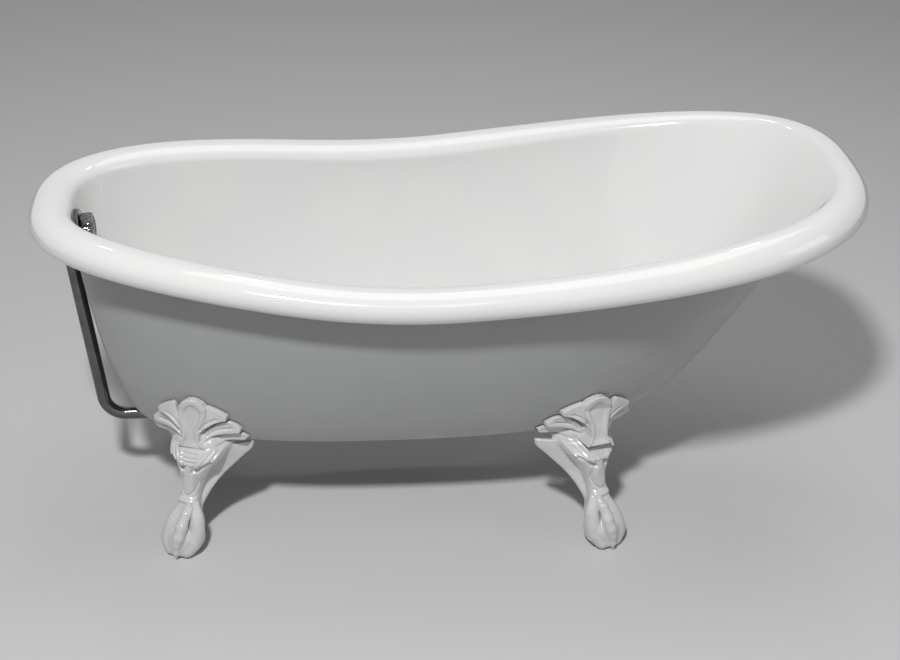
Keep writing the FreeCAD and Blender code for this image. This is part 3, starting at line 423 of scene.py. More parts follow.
# ================================================================ the tub
@dataclass(frozen=True)
class TubShape:
    """Outline, roll and wall of the casting."""

    length: float = 1550.0
    rim_width: float = 733.0
    rim_squareness: float = 2.63
    rim_taper: float = 0.10
    rim_low: float = 615.0
    slipper_rise: float = 130.0
    slipper_sweep: Span = (-300.0, 1170.0)
    drain_rise: float = 54.0
    roll_half_width: float = 38.5
    roll_half_height: float = 30.0
    roll_tilt_slipper: float = 38.0
    roll_tilt_drain: float = 6.0
    lip_angle: float = -70.0
    thick: float = 7.0
    underside: float = 212.0
    bottom_ends: Span = (-592.0, 326.0)
    bottom_half_width: float = 156.0
    bottom_squareness: float = 2.3
    belly: tuple[float, float, float] = (0.38, 0.26, 0.385)
    flank: tuple[float, float, float] = (0.60, 0.37, 0.475)
    end_blend: float = 0.95

    def outline(self, angle: Array) -> tuple[Array, Array]:
        """Outer edge of the rolled rim in plan."""
        c, s = squircle(angle, self.rim_squareness)
        return self.length / 2 * c, self.rim_width / 2 * s * (1.0 + self.rim_taper * c)

    def roll(self, angle: Array, section: Array, inset: Array) -> tuple[Array, Array]:
        """Points on the rolled rim's section.

        Args:
            angle: place round the tub, in radians.
            section: place on the section, in degrees from straight out, turning up.
            inset: how far inside the roll's surface.

        Returns:
            The points, and the roll's lean in radians.
        """
        angle, section, inset = np.broadcast_arrays(angle, section, inset)
        x, y = self.outline(angle)
        step = 1e-4
        (x1, y1), (x0, y0) = self.outline(angle + step), self.outline(angle - step)
        span = np.hypot(x1 - x0, y1 - y0)
        out_x, out_y = (y1 - y0) / span, -(x1 - x0) / span
        share = 2 * x / self.length
        tilt = np.radians(self.roll_tilt_slipper * smooth(share) + self.roll_tilt_drain * smooth(-share))
        reach = np.hypot(self.roll_half_width * np.cos(tilt), self.roll_half_height * np.sin(tilt))
        rise = np.hypot(self.roll_half_width * np.sin(tilt), self.roll_half_height * np.cos(tilt))
        a = (self.roll_half_width - inset) * np.cos(np.radians(section))
        b = (self.roll_half_height - inset) * np.sin(np.radians(section))
        across = a * np.cos(tilt) + b * np.sin(tilt) - reach
        up = b * np.cos(tilt) - a * np.sin(tilt)
        start, end = self.slipper_sweep
        crest = self.rim_low + self.slipper_rise * ramp(x, start, end) + self.drain_rise * smooth(-share)
        return np.stack([x + out_x * across, y + out_y * across, crest - rise + up], -1), tilt

    def wall(self, angle: Array, rise: Array) -> Array:
        """Outside of the wall.

        Args:
            angle: place round the tub, in radians.
            rise: 0 at the bottom's edge, 1 at the roll.

        Returns:
            The points.
        """
        angle, rise = np.broadcast_arrays(angle, rise)
        c, s = squircle(angle, self.bottom_squareness)
        start, end = self.bottom_ends
        foot = np.stack([(start + end) / 2 + (end - start) / 2 * c, self.bottom_half_width * s,
                         np.full(c.shape, self.underside)], -1)
        top, tilt = self.roll(angle, np.full(c.shape, 180.0), np.full(c.shape, self.thick))
        away = top - foot
        height = away[..., 2].copy()
        away[..., 2] = 0.0
        spread = np.linalg.norm(away, axis=-1)
        away = away / spread[..., None]
        slipper = ramp(np.cos(angle), 0.0, self.end_blend)
        drain = ramp(-np.cos(angle), 0.0, self.end_blend)
        shares = np.stack([drain, 1.0 - slipper - drain, slipper])
        belly = np.tensordot(self.belly, shares, 1)
        flank = np.tensordot(self.flank, shares, 1) * height
        u, v = 1.0 - rise, rise
        across = 3 * u * u * v * belly * spread
        across += 3 * u * v * v * (spread - flank * np.sin(tilt)) + v ** 3 * spread
        up = 3 * u * v * v * (height - flank * np.cos(tilt)) + v ** 3 * height
        points = foot + away * across[..., None]
        points[..., 2] += up
        return points

    def wall_normal(self, angle: Array, rise: Array) -> Array:
        """Outward normal of the wall's outside.

        Args:
            angle: place round the tub, in radians.
            rise: as in wall.

        Returns:
            The normals, one long.
        """
        step = 1e-3
        rise = np.asarray(rise, float)
        up = self.wall(angle, np.minimum(rise + step, 1.0)) - self.wall(angle, np.maximum(rise - step, 0.0))
        along = self.wall(angle + step, rise) - self.wall(angle - step, rise)
        return unit(np.cross(along, up))

    def shifted(self, angle: Array, rise: Array, distance: float) -> Array:
        """Wall points moved along the normal, straight up or down at the bottom's edge.

        Args:
            angle: place round the tub, in radians.
            rise: as in wall.
            distance: how far outward.

        Returns:
            The points.
        """
        normal = self.wall_normal(angle, rise)
        level = (np.broadcast_to(rise, normal.shape[:-1]) == 0.0)[..., None]
        normal = np.where(level, np.array([0.0, 0.0, -1.0]), normal)
        return self.wall(angle, rise) + normal * distance


SHAPE = TubShape()


@dataclass
class Bathtub:
    """The iron casting: white enamel in the bath and over the roll, grey paint outside."""

    around: int = 288
    wall_steps: int = 40
    roll_steps: int = 34
    floor_rings: tuple[float, ...] = (0.03, 0.25, 0.45, 0.62, 0.76, 0.87, 0.95)
    drain_x: float = -500.0
    drain_hole: float = 25.5
    overflow_z: float = 595.0
    overflow_hole: float = 26.0
    lug_radius: float = 22.0
    lug_drop: float = 12.0
    lugs: Outline = ((-467.345, -82.564), (231.345, -108.421))
    lug_bevel: float = 1.5
    lug_gap: float = 1.0
    lip_round: float = 1.6
    lip_step: float = 2.0
    sharp_angle: float = 40.0
    hole_reach: float = 20.0
    hole_segments: int = 96
    lug_segments: int = 64
    wall_bunching: float = 0.35

    def profile(self, angle: Array) -> tuple[Array, int]:
        """Rings of the casting's skin.

        Args:
            angle: places round the tub, in radians.

        Returns:
            The rings from the middle of the bath's floor to the middle of the underside, and the
            number of the first ring that is painted grey.
        """
        t = angle[None, :]
        even = np.linspace(0.0, 1.0, self.wall_steps)
        rises = smooth(even) * self.wall_bunching + even * (1.0 - self.wall_bunching)
        wet = SHAPE.shifted(t, rises[:-1, None], -SHAPE.thick)
        sections = np.linspace(180.0, SHAPE.lip_angle + self.lip_step, self.roll_steps)
        roll = SHAPE.roll(t, sections[:, None], np.zeros((self.roll_steps, 1)))[0]
        lips = [(SHAPE.lip_angle, self.lip_round), (SHAPE.lip_angle, SHAPE.thick - self.lip_round)]
        lip = np.concatenate([SHAPE.roll(t, np.full((1, 1), s), np.full((1, 1), i))[0] for s, i in lips])
        under = SHAPE.roll(t, sections[::-1][:, None], np.full((self.roll_steps, 1), SHAPE.thick))[0]
        dry = SHAPE.wall(t, rises[::-1][1:, None])
        middle = np.array([sum(SHAPE.bottom_ends) / 2, 0.0, 0.0])
        floors = []
        for edge in (wet[0], dry[-1]):
            shares = np.array(self.floor_rings)[:, None, None]
            flat = edge * np.array([1.0, 1.0, 0.0])
            height = edge * np.array([0.0, 0.0, 1.0])
            floors.append(middle + (flat - middle)[None] * shares + height[None])
        rings = [floors[0], wet, roll, lip, under, dry, floors[1][::-1]]
        painted = sum(len(r) for r in rings[:3]) + 1
        return np.concatenate(rings), painted

    def build(self) -> bpy.types.Object:
        """Builds the casting with its holes and lugs.

        Returns:
            The finished tub.
        """
        angle = full_turn(self.around)
        rings, painted = self.profile(angle)
        faces = band_faces(len(rings), self.around)
        paint = np.repeat(np.arange(len(rings) - 1) >= painted - 1, self.around)
        caps = [list(range(self.around))[::-1], list(range(len(faces), len(faces) + self.around))]
        tub = mesh_object("tub_body", rings.reshape(-1, 3), faces.tolist() + caps)
        tub.data.materials.append(ENAMEL.material())
        tub.data.materials.append(PAINT.material())
        tub.data.polygons.foreach_set("material_index", [int(p) for p in paint] + [0, 1])
        self.check_way_out(tub)
        self.cut_and_join(tub)
        self.fit(tub)
        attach(tub, "tub")
        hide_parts("tub_casting")
        return tub

    @staticmethod
    def check_way_out(tub: bpy.types.Object) -> None:
        """Turns all faces outward if the skin came out inside out.

        Args:
            tub: the casting.
        """
        work = bmesh.new()
        work.from_mesh(tub.data)
        if work.calc_volume(signed=True) < 0:
            bmesh.ops.reverse_faces(work, faces=work.faces)
            work.to_mesh(tub.data)
        work.free()

    def cut_and_join(self, tub: bpy.types.Object) -> None:
        """Cuts the waste and overflow holes and joins on the lugs for the feet.

        Args:
            tub: the casting.
        """
        up = Vector((0, 0, 1))
        waste = Vector((self.drain_x, 0.0, SHAPE.underside))
        for radius, place, out in ((self.drain_hole, waste, up), (self.overflow_hole, *overflow_place())):
            ends = [(radius, -self.hole_reach), (radius, self.hole_reach)]
            hole = turned("hole", ends, place, out, self.hole_segments)
            hole.data.materials.append(ENAMEL.material())
            combine(tub, hole, "DIFFERENCE")
        radius, bevel, top = self.lug_radius, self.lug_bevel, self.lug_drop + SHAPE.thick - self.lug_gap
        for x, y in self.lugs:
            for side in (-1, 1):
                base = Vector((x, side * y, SHAPE.underside - self.lug_drop))
                profile = [(radius - bevel, 0.0), (radius, bevel), (radius, top)]
                lug = turned("lug", profile, base, up, self.lug_segments)
                lug.data.materials.append(ENAMEL.material())
                lug.data.materials.append(PAINT.material())
                lug.data.polygons.foreach_set("material_index", [1] * len(lug.data.polygons))
                combine(tub, lug, "UNION")
        soft_edges(tub, self.sharp_angle)

    @staticmethod
    def fit(tub: bpy.types.Object) -> None:
        """Keeps the skin inside the CAD casting's box.

        Args:
            tub: the casting.
        """
        low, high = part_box("tub_casting")
        points = np.array([v.co for v in tub.data.vertices])
        for axis in range(3):
            lo, hi = points[:, axis].min(), points[:, axis].max()
            share = min(1.0, (high[axis] - low[axis] - 2 * ROUNDING) / (hi - lo))
            points[:, axis] = (points[:, axis] - (lo + hi) / 2) * share + (low[axis] + high[axis]) / 2
        tub.data.vertices.foreach_set("co", points.ravel())
        tub.data.update()


def overflow_place() -> tuple[Vector, Vector]:
    """Finds the overflow on the outside of the end wall.

    Returns:
        Its middle, and the way out there.
    """
    rises = np.linspace(0.0, 1.0, 4001)
    wall = SHAPE.wall(np.full(rises.shape, math.pi), rises)
    rise = np.interp(Bathtub.overflow_z, wall[:, 2], rises)
    angle = np.array([math.pi])
    place = SHAPE.wall(angle, np.array([rise]))[0]
    return Vector(place), Vector(SHAPE.wall_normal(angle, np.array([rise]))[0])


def down_wall(out: Vector) -> Vector:
    """The way down the end wall, square to the way out, which is towards -X there."""
    return Vector((-out.z, 0.0, out.x))


# ================================================================ the feet
def trilinear(field_: Array, axes: list[Array], wanted: list[Array]) -> Array:
    """Resamples a field on a finer box grid.

    Args:
        field_: values at the coarse grid's points.
        axes: the coarse grid's evenly spaced places on each axis.
        wanted: the fine grid's places on each axis.

    Returns:
        The values at the fine grid's points.
    """
    for number, (have, want) in enumerate(zip(axes, wanted)):
        place = np.clip((want - have[0]) / (have[1] - have[0]), 0.0, len(have) - 1.001)
        low = place.astype(int)
        shape = [1, 1, 1]
        shape[number] = -1
        share = (place - low).reshape(shape)
        field_ = np.take(field_, low, number) * (1 - share) + np.take(field_, low + 1, number) * share
    return field_


def curve_through(stations: Rows, steps: int = 4) -> Array:
    """Lays a smooth cubic curve through stations.

    Args:
        stations: rows of numbers that the curve goes through.
        steps: steps from each station to the next.

    Returns:
        Rows along the curve.
    """
    rows = np.array(stations, dtype=float)
    rows = np.vstack([2 * rows[0] - rows[1], rows, 2 * rows[-1] - rows[-2]])
    made = []
    for before, start, end, after in zip(rows, rows[1:], rows[2:], rows[3:]):
        for t in np.arange(steps) / steps:
            square = (2 * before - 5 * start + 4 * end - after) * t ** 2
            cube = (3 * start - before - 3 * end + after) * t ** 3
            made.append(0.5 * (2 * start + (end - before) * t + square + cube))
    return np.array([*made, rows[-2]])


def segment_distance(x: Array, y: Array, start: tuple[float, float], end: tuple[float, float]) -> Array:
    """Distance in a plane to the line between two points.

    Args:
        x, y: the places.
        start, end: the line's two ends.

    Returns:
        The distance at every place.
    """
    (x0, y0), (x1, y1) = start, end
    dx, dy = x1 - x0, y1 - y0
    t = np.clip(((x - x0) * dx + (y - y0) * dy) / (dx * dx + dy * dy), 0.0, 1.0)
    return np.hypot(x - x0 - t * dx, y - y0 - t * dy)


def polygon_distance(x: Array, y: Array, corners: Outline) -> Array:
    """Distance to a closed outline in its plane.

    Args:
        x, y: the places.
        corners: the outline's corners in order.

    Returns:
        The distance at every place, negative inside.
    """
    best = np.full(x.shape, FAR)
    inside = np.zeros(x.shape, bool)
    for (x0, y0), (x1, y1) in zip(corners, corners[1:] + corners[:1]):
        best = np.minimum(best, segment_distance(x, y, (x0, y0), (x1, y1)))
        if y1 != y0:
            crosses = (y0 > y) != (y1 > y)
            inside ^= crosses & (x < x0 + (y - y0) * (x1 - x0) / (y1 - y0))
    return np.where(inside, -best, best)


def mirrored(half: Outline) -> Outline:
    """A whole outline from its left half, whose last corner is in the middle."""
    return (*half, *((-x, y) for x, y in half[-2::-1]))


def surface_net(values: Array, axes: list[Array]) -> tuple[Array, Array]:
    """Meshes the zero level of a field.

    Args:
        values: the field at the points of a box grid, negative inside.
        axes: the grid's places on each axis.

    Returns:
        Vertices in the grid's own directions, and quads that face out.
    """
    inside = values < 0
    corners = [(i, j, k) for i in (0, 1) for j in (0, 1) for k in (0, 1)]
    size = [n - 1 for n in values.shape]
    count = sum(inside[i:i + size[0], j:j + size[1], k:k + size[2]].astype(np.int8) for i, j, k in corners)
    active = (count > 0) & (count < 8)
    cells = np.argwhere(active)
    number = np.full(active.shape, -1)
    number[active] = np.arange(len(cells))
    total = np.zeros((len(cells), 3))
    hits = np.zeros((len(cells), 1))
    for corner in corners:
        for axis in range(3):
            if corner[axis]:
                continue
            end = list(corner)
            end[axis] = 1
            a = values[tuple((cells + corner).T)]
            b = values[tuple((cells + end).T)]
            cross = (a < 0) != (b < 0)
            share = a[cross] / (a[cross] - b[cross])
            place = np.tile(np.array(corner, float), (cross.sum(), 1))
            place[:, axis] += share
            total[cross] += place
            hits[cross] += 1
    place = cells + total / hits
    points = np.stack([axes[n][0] + place[:, n] * (axes[n][1] - axes[n][0]) for n in range(3)], -1)
    quads = []
    for axis in range(3):
        low = np.take(inside, range(0, values.shape[axis] - 1), axis)
        high = np.take(inside, range(1, values.shape[axis]), axis)
        found = np.argwhere(low != high)
        one, two = [n for n in range(3) if n != axis]
        found = found[(found[:, one] > 0) & (found[:, two] > 0)]
        found = found[(found[:, one] < size[one]) & (found[:, two] < size[two])]
        steps = [(1, 1), (0, 1), (0, 0), (1, 0)]
        ring = []
        for back_one, back_two in steps:
            cell = found.copy()
            cell[:, one] -= back_one
            cell[:, two] -= back_two
            ring.append(number[tuple(cell.T)])
        quad = np.stack(ring, -1)
        starts_inside = low[tuple(found.T)]
        flip = starts_inside if axis == 1 else ~starts_inside
        quad[flip] = quad[flip][:, ::-1]
        quads.append(quad)
    return points, np.concatenate(quads)


@dataclass(frozen=True)
class FootPlace:
    """Where a near foot stands and how it is turned."""

    name: str
    ball: tuple[float, float]
    facing: tuple[float, float]
    hand: int


def chain(u: Array, v: Array, z: Array, stations: Array, soft: float) -> Array:
    """Distance to a row of tapering rounds.

    Args:
        u, v, z: places in the foot's own directions.
        stations: rows of u, v, z and radius.
        soft: width of the fillets between the rounds, or 0 for none.

    Returns:
        The distance, negative inside.
    """
    best = None
    for (u0, v0, z0, r0), (u1, v1, z1, r1) in zip(stations, stations[1:]):
        d = np.array([u1 - u0, v1 - v0, z1 - z0])
        t = ((u - u0) * d[0] + (v - v0) * d[1] + (z - z0) * d[2]) / (d @ d)
        t = np.clip(t, 0.0, 1.0)
        square = (u - u0 - t * d[0]) ** 2 + (v - v0 - t * d[1]) ** 2 + (z - z0 - t * d[2]) ** 2
        part = np.sqrt(square) - (r0 + t * (r1 - r0))
        if best is None:
            best = part
        else:
            best = round_min(best, part, soft) if soft else np.minimum(best, part)
    return best


@dataclass(frozen=True)
class ClawPaw:
    """The ball with the toes that hold it and the front nail, as rows of u, v, z and radius."""

    top: float = 132.0
    ball_radius: float = 37.0
    ball_height: float = 34.0
    front_toe: Rows = ((2.0, 12.0, 101.0, 9.5), (12.0, 10.5, 93.0, 10.8), (17.0, 9.5, 87.0, 9.0),
                       (27.0, 7.0, 71.0, 11.8), (34.0, 3.5, 52.0, 11.8), (37.0, 0.5, 36.0, 9.4))
    outer_toe: Rows = ((-9.0, -2.0, 104.0, 9.0), (2.0, -17.0, 70.0, 16.0), (11.0, -25.0, 34.0, 19.5),
                       (20.0, -17.0, 16.0, 15.5))
    inner_toe: Rows = ((-9.0, 20.0, 104.0, 8.5), (0.0, 26.0, 76.0, 14.5), (9.0, 23.0, 36.0, 17.0),
                       (20.0, 12.0, 16.0, 15.0))
    pad: Rows = ((4.0, -1.0, 36.0, 32.0), (12.0, -1.5, 28.0, 27.0), (19.0, -2.0, 21.0, 20.5))
    rear_toe: Rows = ((-28.0, 6.0, 98.0, 12.0), (-34.0, 3.0, 74.0, 15.0), (-32.0, 0.0, 44.0, 18.0),
                      (-28.0, -2.0, 22.0, 16.0))
    nail: Rows = ((37.5, 0.2, 35.0, 7.2), (38.0, -1.5, 18.0, 6.0), (36.5, -3.0, 3.0, 2.0))
    knuckle_fillet: float = 2.5
    toe_fillet: float = 1.8
    nail_soft: float = 2.0
    nail_fillet: float = 0.8

    def field(self, u: Array, v: Array, z: Array, hand: int) -> Array:
        """Distance to the paw.

        Args:
            u, v, z: places in the foot's own directions.
            hand: 1 or -1, as in the foot's place.

        Returns:
            The distance, negative inside.
        """
        turn = np.array([1.0, hand, 1.0, 1.0])
        paw = np.sqrt(u * u + v * v + (z - self.ball_height) ** 2) - self.ball_radius
        front = chain(u, v, z, np.array(self.front_toe) * turn, self.knuckle_fillet)
        paw = round_min(paw, front, self.toe_fillet)
        for rows in (self.outer_toe, self.inner_toe, self.pad, self.rear_toe):
            paw = round_min(paw, chain(u, v, z, curve_through(rows) * turn, 0.0), self.toe_fillet)
        nail = chain(u, v, z, np.array(self.nail) * turn, self.nail_soft)
        return round_min(paw, nail, self.nail_fillet)


@dataclass(frozen=True)
class LegCarving:
    """Relief on the front of the leg: ankle ring, tongue, and cuff with its slots and flutes.

    A bump is its height over the floor, its reach up and down and how far it stands out. A span is
    where a smooth step starts and where it ends.
    """

    front_half: float = 1.25
    front_fade: float = 0.5
    ring_half: float = 20.0
    ring_fade: float = 4.0
    ring: Bump = (113.5, 6.0, 4.6)
    ring_creases: Rows = ((105.5, 2.8, 1.6), (121.5, 2.8, 1.6))
    tongue_half: float = 7.5
    tongue_swell: Bump = (148.0, 36.0, 6.0)
    tongue_tip: float = 126.0
    tongue_tip_curve: float = 0.07
    tongue_top: float = 196.0
    tongue_height: float = 2.6
    tongue_edge: Span = (-1.0, 4.0)
    tongue_crease: Span = (2.8, 3.4)
    cuff_low: float = 191.0
    cuff_wave: float = 4.0
    cuff_wave_rate: float = 0.18
    cuff_rise: float = 0.30
    cuff_rise_from: float = 16.0
    cuff_edge: float = 1.6
    cuff_top: Span = (219.5, 223.0)
    cuff_height: float = 5.0
    cuff_swell: Bump = (207.0, 16.0, 2.4)
    under_drop: float = 5.0
    under_reach: float = 5.0
    under_depth: float = 3.4
    under_from: Span = (7.0, 12.0)
    slots: tuple[float, ...] = (201.0, 207.5, 214.0)
    slot_reach: float = 2.3
    slot_depth: float = 3.4
    slot_half: float = 17.0
    slot_end: Span = (-1.0, 1.5)
    flute_from: Span = (19.0, 22.0)
    flute_depth: float = 3.0
    flute_rate: Span = (0.612, 0.36)
    flute_middle: float = 206.0

    def relief(self, across: Array, z: Array, turn: Array) -> Array:
        """How far the leg's skin stands out.

        Args:
            across: distance from the leg's middle towards the tub's middle.
            z: height over the floor.
            turn: angle round the leg from its front, in radians.

        Returns:
            The height of the relief, negative where it is cut in.
        """
        beside = np.abs(across)
        front = smooth((self.front_half - np.abs(turn)) / self.front_fade)
        lift = front * ramp(self.ring_half - beside, 0.0, self.ring_fade) * self.ankle(z)
        lift = lift + front * self.tongue(beside, z)
        return lift + front * self.cuff(across, beside, z)

    def ankle(self, z: Array) -> Array:
        """The ring round the ankle with a crease on each side of it.

        Args:
            z: height over the floor.

        Returns:
            The height of the relief.
        """
        height, reach, proud = self.ring
        creases = sum(deep * hump(z, at, wide) for at, wide, deep in self.ring_creases)
        return proud * hump(z, height, reach) - creases

    def tongue(self, beside: Array, z: Array) -> Array:
        """The raised tongue down the leg, with a crease round it.

        Args:
            beside: distance from the leg's middle.
            z: height over the floor.

        Returns:
            The height of the relief.
        """
        height, reach, swell = self.tongue_swell
        edge = beside - (self.tongue_half + swell * hump(z, height, reach))
        edge = np.maximum(edge, self.tongue_tip + self.tongue_tip_curve * beside ** 2 - z)
        edge = np.maximum(edge, z - self.tongue_top)
        return self.tongue_height * (ramp(-edge, *self.tongue_edge) - hump(edge, *self.tongue_crease))

    def cuff(self, across: Array, beside: Array, z: Array) -> Array:
        """The cuff with a shadow line under it, three slots in its middle and flutes on its wings.

        Args:
            across: distance from the leg's middle, with its sign.
            beside: the same without it.
            z: height over the floor.

        Returns:
            The height of the relief.
        """
        start, end = self.cuff_top
        height, reach, swell = self.cuff_swell
        low = (self.cuff_low + self.cuff_wave * np.cos(across * self.cuff_wave_rate)
               + self.cuff_rise * np.maximum(beside - self.cuff_rise_from, 0.0))
        band = ramp(z, low - self.cuff_edge, low + self.cuff_edge) * ramp(-z, -end, -start)
        lift = band * (self.cuff_height + swell * hump(z, height, reach))
        shadow = hump(z, low - self.under_drop, self.under_reach) * ramp(beside, *self.under_from)
        lift = lift - self.under_depth * shadow
        slots = sum(hump(z, at, self.slot_reach) for at in self.slots)
        lift = lift - self.slot_depth * slots * ramp(self.slot_half - beside, *self.slot_end)
        aside, upward = self.flute_rate
        flute = 0.5 + 0.5 * np.cos(beside * aside - (z - self.flute_middle) * upward)
        return lift - band * self.flute_depth * flute ** 2 * ramp(beside, *self.flute_from)


@dataclass(frozen=True)
class LeafCrown:
    """The crown that lies on the tub's wall: a middle shield with a sunk field, and leaves beside it.

    Outlines give the distance across and the height. The shield's and the sunk field's are left
    halves, and the leaves and grooves are the same on both sides.
    """

    shield: Outline = (
        (-27.0, 224.0), (-16.0, 240.0), (-17.0, 262.0), (-23.0, 284.0), (-27.0, 304.0), (-26.0, 320.0),
        (-19.0, 332.0), (-9.0, 339.0), (0.0, 341.0))
    sunk: Outline = (
        (-40.0, 216.0), (-15.0, 232.0), (-9.0, 248.0), (-9.0, 266.0), (-14.0, 286.0), (-16.0, 302.0),
        (-13.0, 316.0), (-6.0, 325.0), (0.0, 327.0))
    leaves: tuple[Outline, ...] = (
        ((12.0, 268.0), (22.0, 292.0), (29.0, 314.0), (34.0, 318.0), (52.0, 309.0), (67.0, 298.0),
         (66.0, 288.0), (46.0, 281.0), (26.0, 268.0), (16.0, 258.0)),
        ((14.0, 252.0), (34.0, 268.0), (60.0, 281.0), (68.0, 280.0), (79.0, 274.0), (86.0, 265.0),
         (84.0, 255.0), (62.0, 252.0), (38.0, 247.0), (20.0, 238.0)),
        ((20.0, 232.0), (44.0, 243.0), (70.0, 249.0), (82.0, 250.0), (93.0, 240.0), (88.0, 233.0),
         (66.0, 232.0), (44.0, 229.0), (26.0, 222.0)))
    grooves: tuple[Outline, ...] = (
        ((68.0, 285.0), (46.0, 277.0), (28.0, 264.0), (19.0, 252.0)),
        ((48.0, 290.0), (34.0, 283.0), (24.0, 274.0), (19.0, 266.0)),
        ((86.0, 252.0), (62.0, 249.0), (38.0, 243.5), (24.0, 235.0)),
        ((70.0, 265.0), (50.0, 262.0), (36.0, 256.0), (27.0, 248.0)),
        ((88.0, 230.0), (64.0, 228.5), (44.0, 225.0)))
    leaf_tip: float = 10.0
    leaf_swell: float = 15.0
    leaf_step: float = 2.0
    leaf_root: float = 10.0
    leaf_root_span: Span = (14.0, 62.0)
    leaf_fall: float = 0.165
    leaf_fall_from: float = 20.0
    leaf_edge: float = 1.8
    joint: float = 0.8
    shield_lean: float = 7.0
    lean_span: Span = (236.0, 330.0)
    shield_drop: float = 7.0
    drop_span: Span = (262.0, 330.0)
    face_top: float = 12.0
    face_swell: float = 5.0
    face_span: Span = (340.0, 300.0)
    face_front: float = -20.0
    face_slope: float = 0.93
    border: float = 2.8
    border_span: Span = (232.0, 262.0)
    sunk_depth: float = 3.4
    sunk_edge: Span = (-1.6, 1.8)
    shield_edge: float = 2.4
    groove_depth: float = 3.6
    groove_half: float = 3.6

    def field(self, across: Array, z: Array, wall: Array, wall_u: Array) -> Array:
        """Distance to the leaves and the shield.

        Args:
            across: the grid's places across, from the crown's middle towards the tub's middle.
            z: the grid's heights.
            wall: distance of every grid point from the tub's wall.
            wall_u: where the wall is, at each height.

        Returns:
            The distance, negative inside.
        """
        flat, high = np.meshgrid(across, z, indexing="ij")
        side = np.abs(flat)
        best = None
        for number, outline in enumerate(self.leaves):
            top = max(c[1] for c in outline) - self.leaf_fall * (side - self.leaf_fall_from)
            bottom = min(c[1] for c in outline)
            grow = np.clip((top - high) / (top - bottom), 0.0, 1.0)
            root = 1.0 - ramp(side, *self.leaf_root_span)
            thick = self.leaf_tip + (self.leaf_swell - self.leaf_step * number + self.leaf_root * root) * grow
            plan = polygon_distance(side, high, outline)
            leaf = round_max(plan[None], wall - thick[None], self.leaf_edge)
            best = leaf if best is None else round_min(best, leaf, self.joint)
        lean = flat - self.shield_lean * ramp(high, *self.lean_span)
        raised = high + self.shield_drop * ramp(high, *self.drop_span)
        face = np.maximum(self.face_top + self.face_swell * ramp(high, *self.face_span),
                          (self.face_front - wall_u[None, :]) * self.face_slope)
        sunk = polygon_distance(lean, raised, mirrored(self.sunk))
        thick = face + self.border * ramp(high, *self.border_span)
        thick = thick - self.sunk_depth * ramp(-sunk, *self.sunk_edge)
        plan = polygon_distance(lean, raised, mirrored(self.shield))
        return round_min(best, round_max(plan[None], wall - thick[None], self.shield_edge), self.joint)

    def carve(self, foot: Array, across: Array, z: Array) -> Array:
        """Cuts the double grooves that curve from under the leaves down to the shield.

        Args:
            foot: the distance field that is cut.
            across: the grid's places across, from the crown's middle.
            z: the grid's heights.

        Returns:
            The field with the grooves in it.
        """
        flat, high = np.meshgrid(across, z, indexing="ij")
        side = np.abs(flat)
        nearest = np.full(side.shape, FAR)
        for line in self.grooves:
            for start, end in zip(line, line[1:]):
                nearest = np.minimum(nearest, segment_distance(side, high, start, end))
        return foot + (self.groove_depth * hump(nearest, 0.0, self.groove_half))[None]


